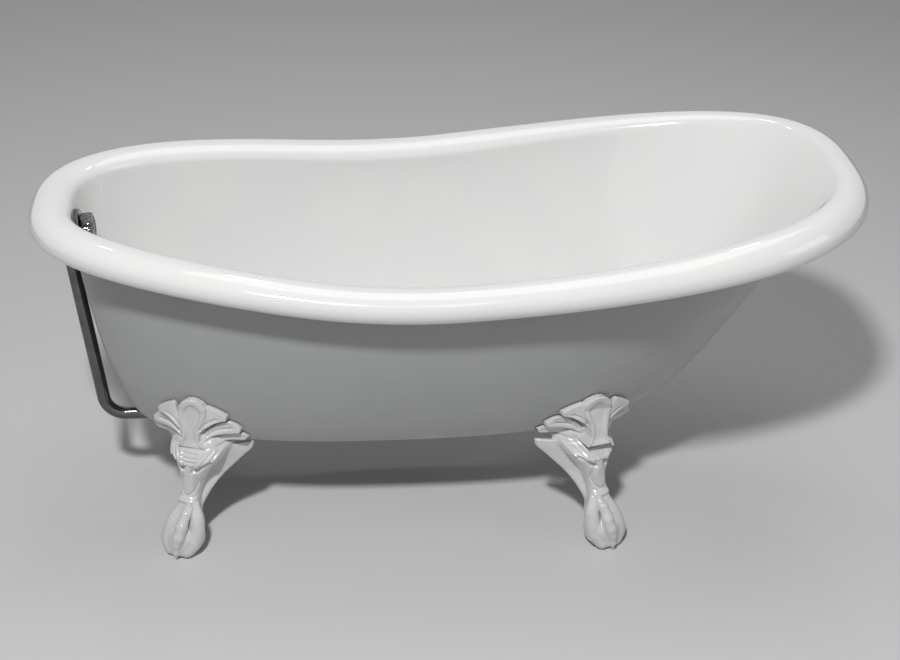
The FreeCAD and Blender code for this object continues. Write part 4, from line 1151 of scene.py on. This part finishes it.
@dataclass
class ClawFoot:
    """A cast foot: paw, ringed ankle, leg with its carving, eyes and web, leaf crown and shelf.

    Its own directions are u (the way it faces, 0 over the ball), v (across, to the slipper end)
    and z (up). hand is 1 where the tub's middle is towards +v, and -1 where it is towards -v.
    """

    place: FootPlace
    grid: float = 1.7
    quick_grid: float = 3.4
    coarse: float = 6.0
    reach_u: Span = (-160.0, 58.0)
    reach_v: Span = (-104.0, 112.0)
    reach_z: Span = (-3.0, 350.0)
    paw: ClawPaw = ClawPaw()
    carving: LegCarving = LegCarving()
    leaf_crown: LeafCrown = LeafCrown()
    # leg: height, front, back and half width; crown: height, how far out of the wall, half width
    leg: Rows = (
        (30.0, 14.0, -26.0, 22.0), (70.0, 12.0, -30.0, 23.0), (92.0, 7.0, -34.0, 22.0),
        (110.0, -1.0, -38.0, 19.5), (128.0, -7.0, -47.0, 19.0), (152.0, -8.0, -62.0, 22.5),
        (176.0, -7.0, -82.0, 33.0), (198.0, -8.0, -106.0, 50.0))
    crown: Rows = ((220.0, 55.0, 60.0), (232.0, 44.0, 52.0), (246.0, 33.0, 42.0), (262.0, 21.0, 34.0),
                   (290.0, 10.0, 26.0), (324.0, 5.0, 20.0))
    crown_behind: float = 60.0
    crown_shift: float = 12.0
    crown_shift_span: Span = (56.0, 220.0)
    crown_from: float = 218.0
    lower_wall: float = -76.0
    leg_span: Span = (30.0, 326.0)
    leg_squareness: float = 2.3
    leg_soften: int = 9
    eye_across: float = 17.0
    eye_height: float = 183.0
    eye_front: float = 1.0
    eye_slant: float = 0.45
    eye_stretch: Span = (1.7, 1.5)
    eye_radius: float = 7.6
    eye_edge: float = 1.2
    # web behind the leg: height, front in its middle and half width
    web: Rows = (
        (75.0, -15.0, 17.0), (100.0, -20.0, 24.0), (124.0, -29.0, 33.0), (144.0, -36.0, 44.0),
        (165.0, -37.0, 60.0), (185.0, -35.0, 76.0), (199.0, -33.0, 88.0), (214.0, -33.0, 90.0))
    web_lean: float = 0.70
    web_thick: float = 10.0
    web_slope: float = 0.82
    web_edge: float = 4.0
    web_fillet: float = 6.0
    paw_fillet: float = 5.0
    crown_fillet: float = 2.0
    wall_gap: float = 1.5
    wall_round: tuple[float, float, int] = (178.0, 362.0, 369)
    wall_rise: tuple[float, int] = (0.75, 76)
    wall_middle: float = 0.02
    wall_from: float = 150.0
    wall_clear: float = 60.0
    shelf_z: Span = (186.0, 200.0)
    shelf_radius: float = 26.0
    shelf_fillet: float = 4.0
    lug_setback: float = 124.0
    lug_radius: float = 23.5
    lug_room: float = 22.0
    stud_hole: float = 7.0
    stud_room: float = 30.0

    def axes(self) -> list[Array]:
        """The fine grid's places on each axis."""
        return [np.arange(low, high, self.grid) for low, high in (self.reach_u, self.reach_v, self.reach_z)]

    def to_row(self, u: Array, v: Array, z: Array) -> Array:
        """Turns places in the foot's own directions into the row frame.

        Args:
            u, v, z: the places.

        Returns:
            The points, with x, y and z on the last axis.
        """
        fx, fy = self.place.facing
        x = self.place.ball[0] + fx * u - fy * v
        y = self.place.ball[1] + fy * u + fx * v
        return np.stack(np.broadcast_arrays(x, y, z), -1)

    def wall_distance(self, axes: list[Array]) -> Array:
        """Distance of the grid's points from the outside of the tub.

        Args:
            axes: the fine grid's places on each axis.

        Returns:
            The distance, negative inside the tub, and wall_clear under wall_from.
        """
        start, end, count = self.wall_round
        angle = np.radians(np.linspace(start, end, count))
        rises = np.linspace(0.0, *self.wall_rise)
        wall = SHAPE.wall(angle[None, :], rises[:, None])
        middle = np.array([sum(SHAPE.bottom_ends) / 2, 0.0, SHAPE.underside])
        rings = np.concatenate([middle + (wall[:1] - middle) * self.wall_middle, wall])
        i, j = np.meshgrid(np.arange(len(rings) - 1), np.arange(count - 1), indexing="ij")
        faces = np.stack([i * count + j, i * count + j + 1, (i + 1) * count + j + 1, (i + 1) * count + j], -1)
        tree = BVHTree.FromPolygons(rings.reshape(-1, 3).tolist(), faces.reshape(-1, 4).tolist())
        rough = [np.arange(a[0], a[-1] + self.coarse, self.coarse) for a in axes]
        rough[2] = rough[2][rough[2] > self.wall_from]
        u, v, z = np.meshgrid(*rough, indexing="ij")
        values = np.empty(u.size)
        for n, place in enumerate(self.to_row(u, v, z).reshape(-1, 3).tolist()):
            near, normal, _, distance = tree.find_nearest(place)
            values[n] = distance if (Vector(place) - near).dot(normal) > 0 else -distance
        values = values.reshape(u.shape)
        if values[-1, 0, 0] < 0:
            values = -values
        fine = trilinear(values, rough, axes)
        fine[:, :, axes[2] < rough[2][0]] = self.wall_clear
        return fine

    def leg_curves(self, z: Array, wall_u: Array) -> tuple[Array, Array, Array, Array]:
        """The leg's form at each height.

        Args:
            z: the heights.
            wall_u: where the tub's wall is at each of them.

        Returns:
            Its front, its back, its middle across and its half width.
        """
        rows = list(self.leg)
        for height, proud, half in self.crown:
            wall = float(np.interp(height, z, wall_u))
            rows.append((height, wall + proud, wall - self.crown_behind, half))
        table = np.array(rows)
        kernel = np.hanning(self.leg_soften + 2)[1:-1]
        kernel /= kernel.sum()
        soft = []
        for column in (1, 2, 3):
            curve = np.interp(z, table[:, 0], table[:, column])
            soft.append(np.convolve(np.pad(curve, self.leg_soften // 2, mode="edge"), kernel, "valid"))
        shift = self.place.hand * self.crown_shift * ramp(z, *self.crown_shift_span)
        return soft[0], soft[1], shift, soft[2]

    def leg_field(self, u: Array, v: Array, z: Array, wall_u: Array) -> Array:
        """Distance to the carved leg with its eyes and its web.

        Args:
            u, v, z: places in the foot's own directions.
            wall_u: where the tub's wall is at each height.

        Returns:
            The distance, negative inside.
        """
        front, back, shift, half = self.leg_curves(z.ravel(), wall_u)
        mid, depth = (front + back) / 2, (front - back) / 2
        aside, power = v - shift, self.leg_squareness
        ratio = (np.abs((u - mid) / depth) ** power + np.abs(aside / half) ** power) ** (1.0 / power)
        size = np.hypot(u - mid, aside)
        leg = size - size / np.maximum(ratio, TINY)
        low, high = self.leg_span
        leg = np.maximum(np.maximum(leg, low - z), z - high)
        leg = leg - self.carving.relief(aside * self.place.hand, z, np.arctan2(aside, u - mid))
        slant = self.eye_slant * (np.abs(aside) - self.eye_across)
        wide, deep = self.eye_stretch
        for across in (-self.eye_across, self.eye_across):
            eye = (((aside - across) / wide) ** 2 + (z - self.eye_height - slant) ** 2
                   + ((u - front - self.eye_front) / deep) ** 2)
            leg = round_max(leg, self.eye_radius - np.sqrt(eye), self.eye_edge)
        return round_min(leg, self.web_field(u, aside, z), self.web_fillet)

    def web_field(self, u: Array, v: Array, z: Array) -> Array:
        """Distance to the web that flares from the ankle to the crown, behind the leg.

        Args:
            u, v, z: places in the foot's own directions, with v from the leg's middle.

        Returns:
            The distance, negative inside.
        """
        rows = curve_through(self.web)
        low, high = rows[0, 0], rows[-1, 0]
        front = np.interp(z, rows[:, 0], rows[:, 1]) - self.web_lean * np.abs(v)
        half = np.interp(z, rows[:, 0], rows[:, 2])
        slab = np.abs(u - front + self.web_thick / 2) - self.web_thick / 2
        plate = round_max(slab * self.web_slope, np.abs(v) - half, self.web_edge)
        return np.maximum(plate, np.maximum(low - z, z - high))

    def field(self, axes: list[Array]) -> Array:
        """The whole foot as a distance field.

        Args:
            axes: the fine grid's places on each axis.

        Returns:
            The distance at every grid point, negative inside.
        """
        hand = self.place.hand
        u, v, z = axes[0][:, None, None], axes[1][None, :, None], axes[2][None, None, :]
        wall = self.wall_distance(axes)
        middle = int(np.argmin(np.abs(axes[1] - hand * self.crown_shift)))
        reach = [float(np.interp(0.0, wall[:, middle, n], axes[0])) for n in range(len(axes[2]))]
        wall_u = np.where(axes[2] > self.crown_from, np.array(reach), self.lower_wall)
        foot = self.leg_field(u, v, z, wall_u)
        count = int(np.searchsorted(axes[2], self.paw.top))
        paw = self.paw.field(u, v, z[:, :, :count], hand)
        foot[:, :, :count] = round_min(paw, foot[:, :, :count], self.paw_fillet)
        across = (axes[1] - hand * self.crown_shift) * hand
        foot = round_min(foot, self.leaf_crown.field(across, axes[2], wall, wall_u), self.crown_fillet)
        foot = self.leaf_crown.carve(foot, across, axes[2])
        foot = self.fixing(foot, u, v, z)
        return np.maximum(np.maximum(foot, self.wall_gap - wall), -z)

    def fixing(self, foot: Array, u: Array, v: Array, z: Array) -> Array:
        """Adds the shelf behind the leg and cuts the room for the tub's lug and stud.

        Args:
            foot: the distance field so far.
            u, v, z: places in the foot's own directions.

        Returns:
            The field with the shelf and its holes.
        """
        low, high = self.shelf_z
        plan = np.hypot(u + self.lug_setback, v)
        bridge = np.abs(u + self.lug_setback * 0.75) - self.lug_setback / 4
        bridge = np.maximum(np.abs(v) - self.shelf_radius, bridge)
        shelf = np.maximum(np.minimum(plan - self.shelf_radius, bridge), np.maximum(low - z, z - high))
        foot = round_min(foot, shelf, self.shelf_fillet)
        half = self.lug_room / 2
        foot = np.maximum(foot, -np.maximum(plan - self.lug_radius, np.abs(z - high - half) - half))
        return np.maximum(foot, -np.maximum(plan - self.stud_hole, np.abs(z - low) - self.stud_room))

    def build(self) -> list[bpy.types.Object]:
        """Builds the near foot and its mirror image on the far side.

        Returns:
            The two feet, in white enamel.
        """
        axes = self.axes()
        points, quads = surface_net(self.field(axes).astype(np.float32), axes)
        row = self.to_row(points[:, 0], points[:, 1], points[:, 2])
        made = []
        for side, sign in (("near", 1), ("far", -1)):
            node = f"foot_{self.place.name}_{side}"
            place = row * np.array([1.0, sign, 1.0])
            obj = mesh_object(f"claw_{self.place.name}_{side}", place, quads if sign > 0 else quads[:, ::-1])
            keep_largest(obj)
            FOOT_WHITE.dress(obj)
            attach(obj, "tub")
            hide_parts(node)
            made.append(obj)
        return made


def keep_largest(obj: bpy.types.Object) -> None:
    """Removes crumbs that aren't joined to the main body of a mesh.

    Args:
        obj: the mesh that is changed.
    """
    work = bmesh.new()
    work.from_mesh(obj.data)
    work.verts.ensure_lookup_table()
    seen = np.zeros(len(work.verts), int)
    groups = [[]]
    for start in work.verts:
        if seen[start.index]:
            continue
        stack, group = [start], []
        seen[start.index] = len(groups)
        while stack:
            vertex = stack.pop()
            group.append(vertex)
            for edge in vertex.link_edges:
                other = edge.other_vert(vertex)
                if not seen[other.index]:
                    seen[other.index] = len(groups)
                    stack.append(other)
        groups.append(group)
    largest = max(groups, key=len)
    crumbs = [v for group in groups if group is not largest for v in group]
    bmesh.ops.delete(work, geom=crumbs, context="VERTS")
    if work.calc_volume(signed=True) < 0:
        bmesh.ops.reverse_faces(work, faces=work.faces)
    work.to_mesh(obj.data)
    work.free()
    LOG.info("%s: %d crumbs removed", obj.name, len(crumbs))


# ================================================================ waste, overflow and small parts
@dataclass
class WasteAndOverflow:
    """Finishes for the brass, rubber and steel pieces that keep their CAD shape."""

    chrome: tuple[str, ...] = ("drain_flange", "waste_cup", "plug_head", "overflow_housing", "overflow_bezel",
                               "overflow_knob", "upper_tube_nut", "lower_tube_nut")
    brass: tuple[str, ...] = ("rocker", "plug_stem", "plug_lock_nut", "knob_spindle", "drive_crank")
    zinc: tuple[str, ...] = ("foot_studs", "foot_washers", "foot_nuts")
    steel: tuple[str, ...] = ("rocker_pin", "bezel_screws", "knob_set_screw")
    rubber: tuple[str, ...] = ("drain_bedding", "drain_gasket", "plug_seal", "overflow_gasket", "inner_gasket",
                               "tube_seals")
    polymer: tuple[str, ...] = ("spindle_bush", "pull_cable")

    def dress(self) -> None:
        """Gives each CAD node its finish."""
        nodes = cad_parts
        for finish, names in ((CHROME_PAINTED_DARK_REFLECTION, self.chrome), (BRASS, self.brass), (ZINC, self.zinc),
                              (STEEL, self.steel), (RUBBER, self.rubber), (POLYMER, self.polymer)):
            finish.dress(*(nodes[name] for name in names))


@dataclass
class FlutedKnob:
    """Waste knob on the overflow: scooped grip, dished face with a raised rim and a middle button."""

    radius: float = 26.9
    back: float = 16.0
    height: float = 21.0
    grooves: int = 8
    groove_depth: float = 2.7
    groove_half: float = 13.0
    sharp_angle: float = 50.0
    segments: int = 192

    def profile(self) -> list[tuple[float, float, float]]:
        """Lays out the knob's skin from its back edge to the middle of its face.

        Returns:
            Rows of radius, distance in from the wall and share of the scoops' depth.
        """
        back, front, edge = self.back, self.back + self.height, self.radius
        side = [(edge - 3.0, back, 0.0), (edge - 1.0, back + 0.6, 0.5), (edge, back + 2.6, 1.0),
                (edge, front - 5.0, 1.0), (edge - 0.6, front - 3.2, 1.0), (edge - 2.0, front - 1.4, 0.8),
                (edge - 4.4, front - 0.2, 0.5), (edge - 6.0, front - 0.1, 0.3)]
        face = [(edge - 7.5, front - 0.9, 0.1), (edge - 9.0, front - 1.8, 0.0), (edge - 14.0, front - 2.4, 0.0),
                (9.0, front - 2.5, 0.0), (8.2, front - 1.2, 0.0), (6.5, front - 0.5, 0.0),
                (3.5, front - 0.1, 0.0), (0.5, front - 0.05, 0.0)]
        return side + face

    def build(self) -> bpy.types.Object:
        """Builds the knob on the overflow's axis.

        Returns:
            The finished knob.
        """
        place, out = overflow_place()
        side = np.array([0.0, 1.0, 0.0])
        turn = full_turn(self.segments)
        pitch = 360.0 / self.grooves
        off = np.abs(np.degrees(turn) % pitch - pitch / 2)
        scoop = self.groove_depth * smooth(1.0 - off / self.groove_half)
        around = spokes(turn, side, np.cross(side, np.array(out)))
        rings = [np.array(place) - np.array(out) * inward + around * (radius - share * scoop)[:, None]
                 for radius, inward, share in self.profile()]
        obj = closed_rings("waste_knob", rings)
        soft_edges(obj, self.sharp_angle)
        CHROME_PAINTED_DARK_REFLECTION.dress(obj)
        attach(obj, "knob")
        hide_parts("overflow_knob")
        return obj


@dataclass
class TubeNut:
    """Chamfered hexagon nut that clamps the overflow tube in a socket, with a turned collar."""

    node: str
    flats: float = 31.6
    length: float = 17.0
    bore: float = 12.7
    grip_bore: float = 13.9
    grip: float = 15.0
    chamfer: float = 2.04
    over: float = 1.0
    flat_bevel: float = 0.1
    corner_bevel: float = 0.02
    sharp_angle: float = 25.0
    segments: int = 96

    def build(self, start: Vector, along: Vector, side: Vector) -> bpy.types.Object:
        """Builds the nut.

        Args:
            start: middle of the face that is towards the socket.
            along: the way from the socket to the tube.
            side: direction of the middle of one flat.

        Returns:
            The finished nut.
        """
        corner = self.flats / math.sqrt(3.0)
        along, side = Vector(along).normalized(), Vector(side).normalized()
        ring = spokes(np.radians(60.0 * np.arange(6) + 30.0), side, along.cross(side))
        ends = [np.array(start) + np.array(along) * h + ring * corner for h in (0.0, self.length)]
        nut = closed_rings(f"{self.node}_hex", ends)
        edge, wide, deep = self.flats / 2 - self.flat_bevel, corner - self.corner_bevel, self.chamfer
        cones = [(edge, 0.0), (wide, deep), (wide, self.length - deep), (edge, self.length)]
        grip = [(self.grip_bore, -self.over), (self.grip_bore, self.grip)]
        hole = [(self.bore, self.grip - self.over), (self.bore, self.length + self.over)]
        for profile, operation in ((cones, "INTERSECT"), (grip, "DIFFERENCE"), (hole, "DIFFERENCE")):
            combine(nut, turned("tool", profile, start, along, self.segments), operation)
        soft_edges(nut, self.sharp_angle)
        CHROME_PAINTED_DARK_REFLECTION.dress(nut)
        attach(nut, "tub")
        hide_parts(self.node)
        return nut


@dataclass
class OverflowTube:
    """Drawn chromed tube from the overflow down the end wall, round a bend and into the waste."""

    radius: float = 12.5
    bend: float = 42.0
    setback: float = 17.2
    level_z: float = 192.0
    start: float = 38.0
    socket_end: float = 46.0
    end_x: float = -544.0
    segments: int = 64
    bend_steps: int = 40
    straight_steps: int = 24
    nut_gap: float = 3.0
    lower_nut_x: float = -540.0

    def path(self) -> tuple[Array, Array]:
        """Lays out the tube's middle in the plane y = 0.

        Returns:
            Points along it, and the way that it goes at each.
        """
        place, out = overflow_place()
        down = np.array(down_wall(out))
        top = np.array(place) + np.array(out) * self.setback
        inward = -np.array(out)
        centre_z = self.level_z + self.bend
        drop = (top[2] + self.bend * inward[2] - centre_z) / -down[2]
        centre = top + down * drop + inward * self.bend
        turn = np.linspace(0.0, math.acos(float(down[0])), self.bend_steps)
        radial = top + down * drop - centre
        arcs = [centre + radial * math.cos(t) + down * (self.bend * math.sin(t)) for t in turn]
        ways = [down * math.cos(t) - unit(radial) * math.sin(t) for t in turn]
        straight = np.linspace(self.start, drop, self.straight_steps)[:-1]
        points = [*(top + down * s for s in straight), *arcs, np.array([self.end_x, 0.0, self.level_z])]
        heads = [*([down] * len(straight)), *ways, np.array([1.0, 0.0, 0.0])]
        return np.array(points), np.array(heads)

    def nuts(self) -> list[bpy.types.Object]:
        """Builds the nuts at the tube's two ends.

        Returns:
            The upper and the lower nut.
        """
        place, out = overflow_place()
        down = down_wall(out)
        top = place + out * self.setback + down * (self.socket_end - TubeNut.grip + self.nut_gap)
        low = Vector((self.lower_nut_x, 0.0, self.level_z))
        return [TubeNut("upper_tube_nut").build(top, down, out),
                TubeNut("lower_tube_nut").build(low, Vector((-1, 0, 0)), Vector((0, 0, 1)))]

    def build(self) -> bpy.types.Object:
        """Sweeps the tube.

        Returns:
            The finished tube.
        """
        turn = full_turn(self.segments)
        across = np.array([0.0, 1.0, 0.0])
        rings = [place + self.radius * spokes(turn, across, np.cross(head, across))
                 for place, head in zip(*self.path())]
        obj = closed_rings("overflow_pipe", rings)
        soft_edges(obj)
        CHROME_PAINTED_DARK_REFLECTION.dress(obj)
        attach(obj, "tub")
        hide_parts("overflow_tube")
        return obj


# ================================================================ stage, light and camera
@dataclass(frozen=True)
class AreaLight:
    """One soft box that looks at a target, in metres and watts."""

    name: str
    place: tuple[float, float, float]
    target: tuple[float, float, float]
    size: float
    power: float
    colour: tuple[float, float, float] = (1.0, 1.0, 1.0)

    def build(self) -> None:
        """Adds the lamp."""
        lamp = bpy.data.lights.new(self.name, "AREA")
        lamp.shape = "SQUARE"
        lamp.size = self.size
        lamp.energy = self.power
        lamp.color = self.colour
        obj = bpy.data.objects.new(self.name, lamp)
        obj.location = self.place
        aim = Vector(self.target) - Vector(self.place)
        obj.rotation_euler = aim.to_track_quat("-Z", "Y").to_euler()
        bpy.context.scene.collection.objects.link(obj)


@dataclass(frozen=True)
class Studio:
    """Pale floor, even surroundings and the lamps."""

    floor_colour: tuple[float, float, float] = (0.62, 0.62, 0.63)
    floor_half: float = 14.0
    surround: float = 0.11
    seen: float = 0.80
    lamps: tuple[AreaLight, ...] = (
        AreaLight("key", (-0.9, -3.2, 4.3), (-0.1, 0.0, 0.45), 0.36, 198.0),
        AreaLight("top", (0.4, 0.6, 3.6), (0.1, 0.0, 0.5), 2.2, 22.0),
        AreaLight("side", (3.4, -1.6, 2.2), (0.1, 0.0, 0.4), 1.4, 8.0),
        AreaLight("glint_a", (-1.3, 1.9, 3.4), (-0.2, 0.0, 0.5), 0.16, 3.0),
        AreaLight("glint_b", (-0.2, 1.9, 3.4), (0.0, 0.0, 0.5), 0.16, 3.0),
        AreaLight("glint_c", (1.0, 1.9, 3.4), (0.3, 0.0, 0.5), 0.16, 3.0))

    def build(self) -> None:
        """Adds the floor, the world and the lamps."""
        work = bmesh.new()
        bmesh.ops.create_grid(work, x_segments=8, y_segments=8, size=self.floor_half)
        mesh = bpy.data.meshes.new("studio_floor")
        work.to_mesh(mesh)
        work.free()
        floor = bpy.data.objects.new("studio_floor", mesh)
        bpy.context.scene.collection.objects.link(floor)
        material = bpy.data.materials.new("floor_paper")
        material.use_nodes = True
        shader = next(n for n in material.node_tree.nodes if n.type == "BSDF_PRINCIPLED")
        shader.inputs["Base Color"].default_value = (*self.floor_colour, 1.0)
        shader.inputs["Roughness"].default_value = 0.85
        floor.data.materials.append(material)
        self.world()
        for lamp in self.lamps:
            lamp.build()

    def world(self) -> None:
        """Even light from all round, with a paler backdrop where the camera or a gloss sees it."""
        world = bpy.data.worlds.new("surround")
        world.use_nodes = True
        bpy.context.scene.world = world
        graph = Graph(world.node_tree)
        light = next(n for n in graph.tree.nodes if n.type == "BACKGROUND")
        path = graph.add("ShaderNodeLightPath")
        seen = graph.add("ShaderNodeMath", {0: path.outputs["Is Camera Ray"], 1: path.outputs["Is Glossy Ray"]},
                         operation="ADD")
        seen = graph.add("ShaderNodeMath", {0: seen.outputs[0], 1: path.outputs["Is Transmission Ray"]},
                         operation="ADD", use_clamp=True)
        strength = graph.range(seen.outputs[0], 0.0, 1.0, self.surround, self.seen)
        light.inputs["Color"].default_value = (1.0, 1.0, 1.0, 1.0)
        graph.tree.links.new(strength, light.inputs["Strength"])


@dataclass(frozen=True)
class Viewpoint:
    """The camera, placed round a target as it was fitted to the photograph."""

    azimuth: float = -8.13
    elevation: float = 29.89
    roll: float = 2.556
    distance: float = 3461.6
    target: tuple[float, float, float] = (129.0, 0.0, 334.7)
    focal_pixels: float = 1757.0
    centre_pixels: Span = (515.9, 339.26)
    image: tuple[int, int] = (900, 660)
    sensor: float = 36.0

    def build(self) -> bpy.types.Object:
        """Adds the camera and makes it the scene's.

        Returns:
            The camera.
        """
        a, e, r = (math.radians(x) for x in (self.azimuth, self.elevation, self.roll))
        back = Vector((math.sin(a) * math.cos(e), -math.cos(a) * math.cos(e), math.sin(e)))
        level = Vector((math.cos(a), math.sin(a), 0.0))
        above = back.cross(level)
        right = level * math.cos(r) + above * math.sin(r)
        up = above * math.cos(r) - level * math.sin(r)
        data = bpy.data.cameras.new("camera")
        data.sensor_fit = "HORIZONTAL"
        data.sensor_width = self.sensor
        width, height = self.image
        data.lens = self.focal_pixels * self.sensor / width
        data.shift_x = (width / 2 - self.centre_pixels[0]) / width
        data.shift_y = (self.centre_pixels[1] - height / 2) / width
        data.clip_start, data.clip_end = 0.1, 60.0
        obj = bpy.data.objects.new("camera", data)
        turn = Matrix((right, up, back)).transposed().to_4x4()
        place = (Vector(self.target) + back * self.distance) * MM
        obj.matrix_world = Matrix.Translation(place) @ turn
        bpy.context.scene.collection.objects.link(obj)
        bpy.context.scene.camera = obj
        return obj


FEET = (FootPlace("drain", (-519.75, -194.946), (-0.422618, -0.906308), 1),
        FootPlace("slipper", (283.75, -220.803), (0.422618, -0.906308), -1))


def main() -> None:
    """Builds every piece in order and logs the face counts of the meshes it makes."""
    logging.basicConfig(level=logging.INFO, format="%(message)s")
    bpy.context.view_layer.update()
    flow_group()
    turning_group()
    Viewpoint().build()
    Studio().build()
    tub = Bathtub().build()
    LOG.info("%s: %d faces", tub.name, len(tub.data.polygons))
    for place in FEET:
        for foot in ClawFoot(place, grid=ClawFoot.grid).build():
            LOG.info("%s: %d faces", foot.name, len(foot.data.polygons))
    WasteAndOverflow().dress()
    tube = OverflowTube()
    made = [FlutedKnob().build(), *tube.nuts(), tube.build()]
    for obj in made:
        LOG.info("%s: %d faces", obj.name, len(obj.data.polygons))
    bpy.context.scene.view_settings.view_transform = "Standard"


if __name__ == "__main__":
    main()
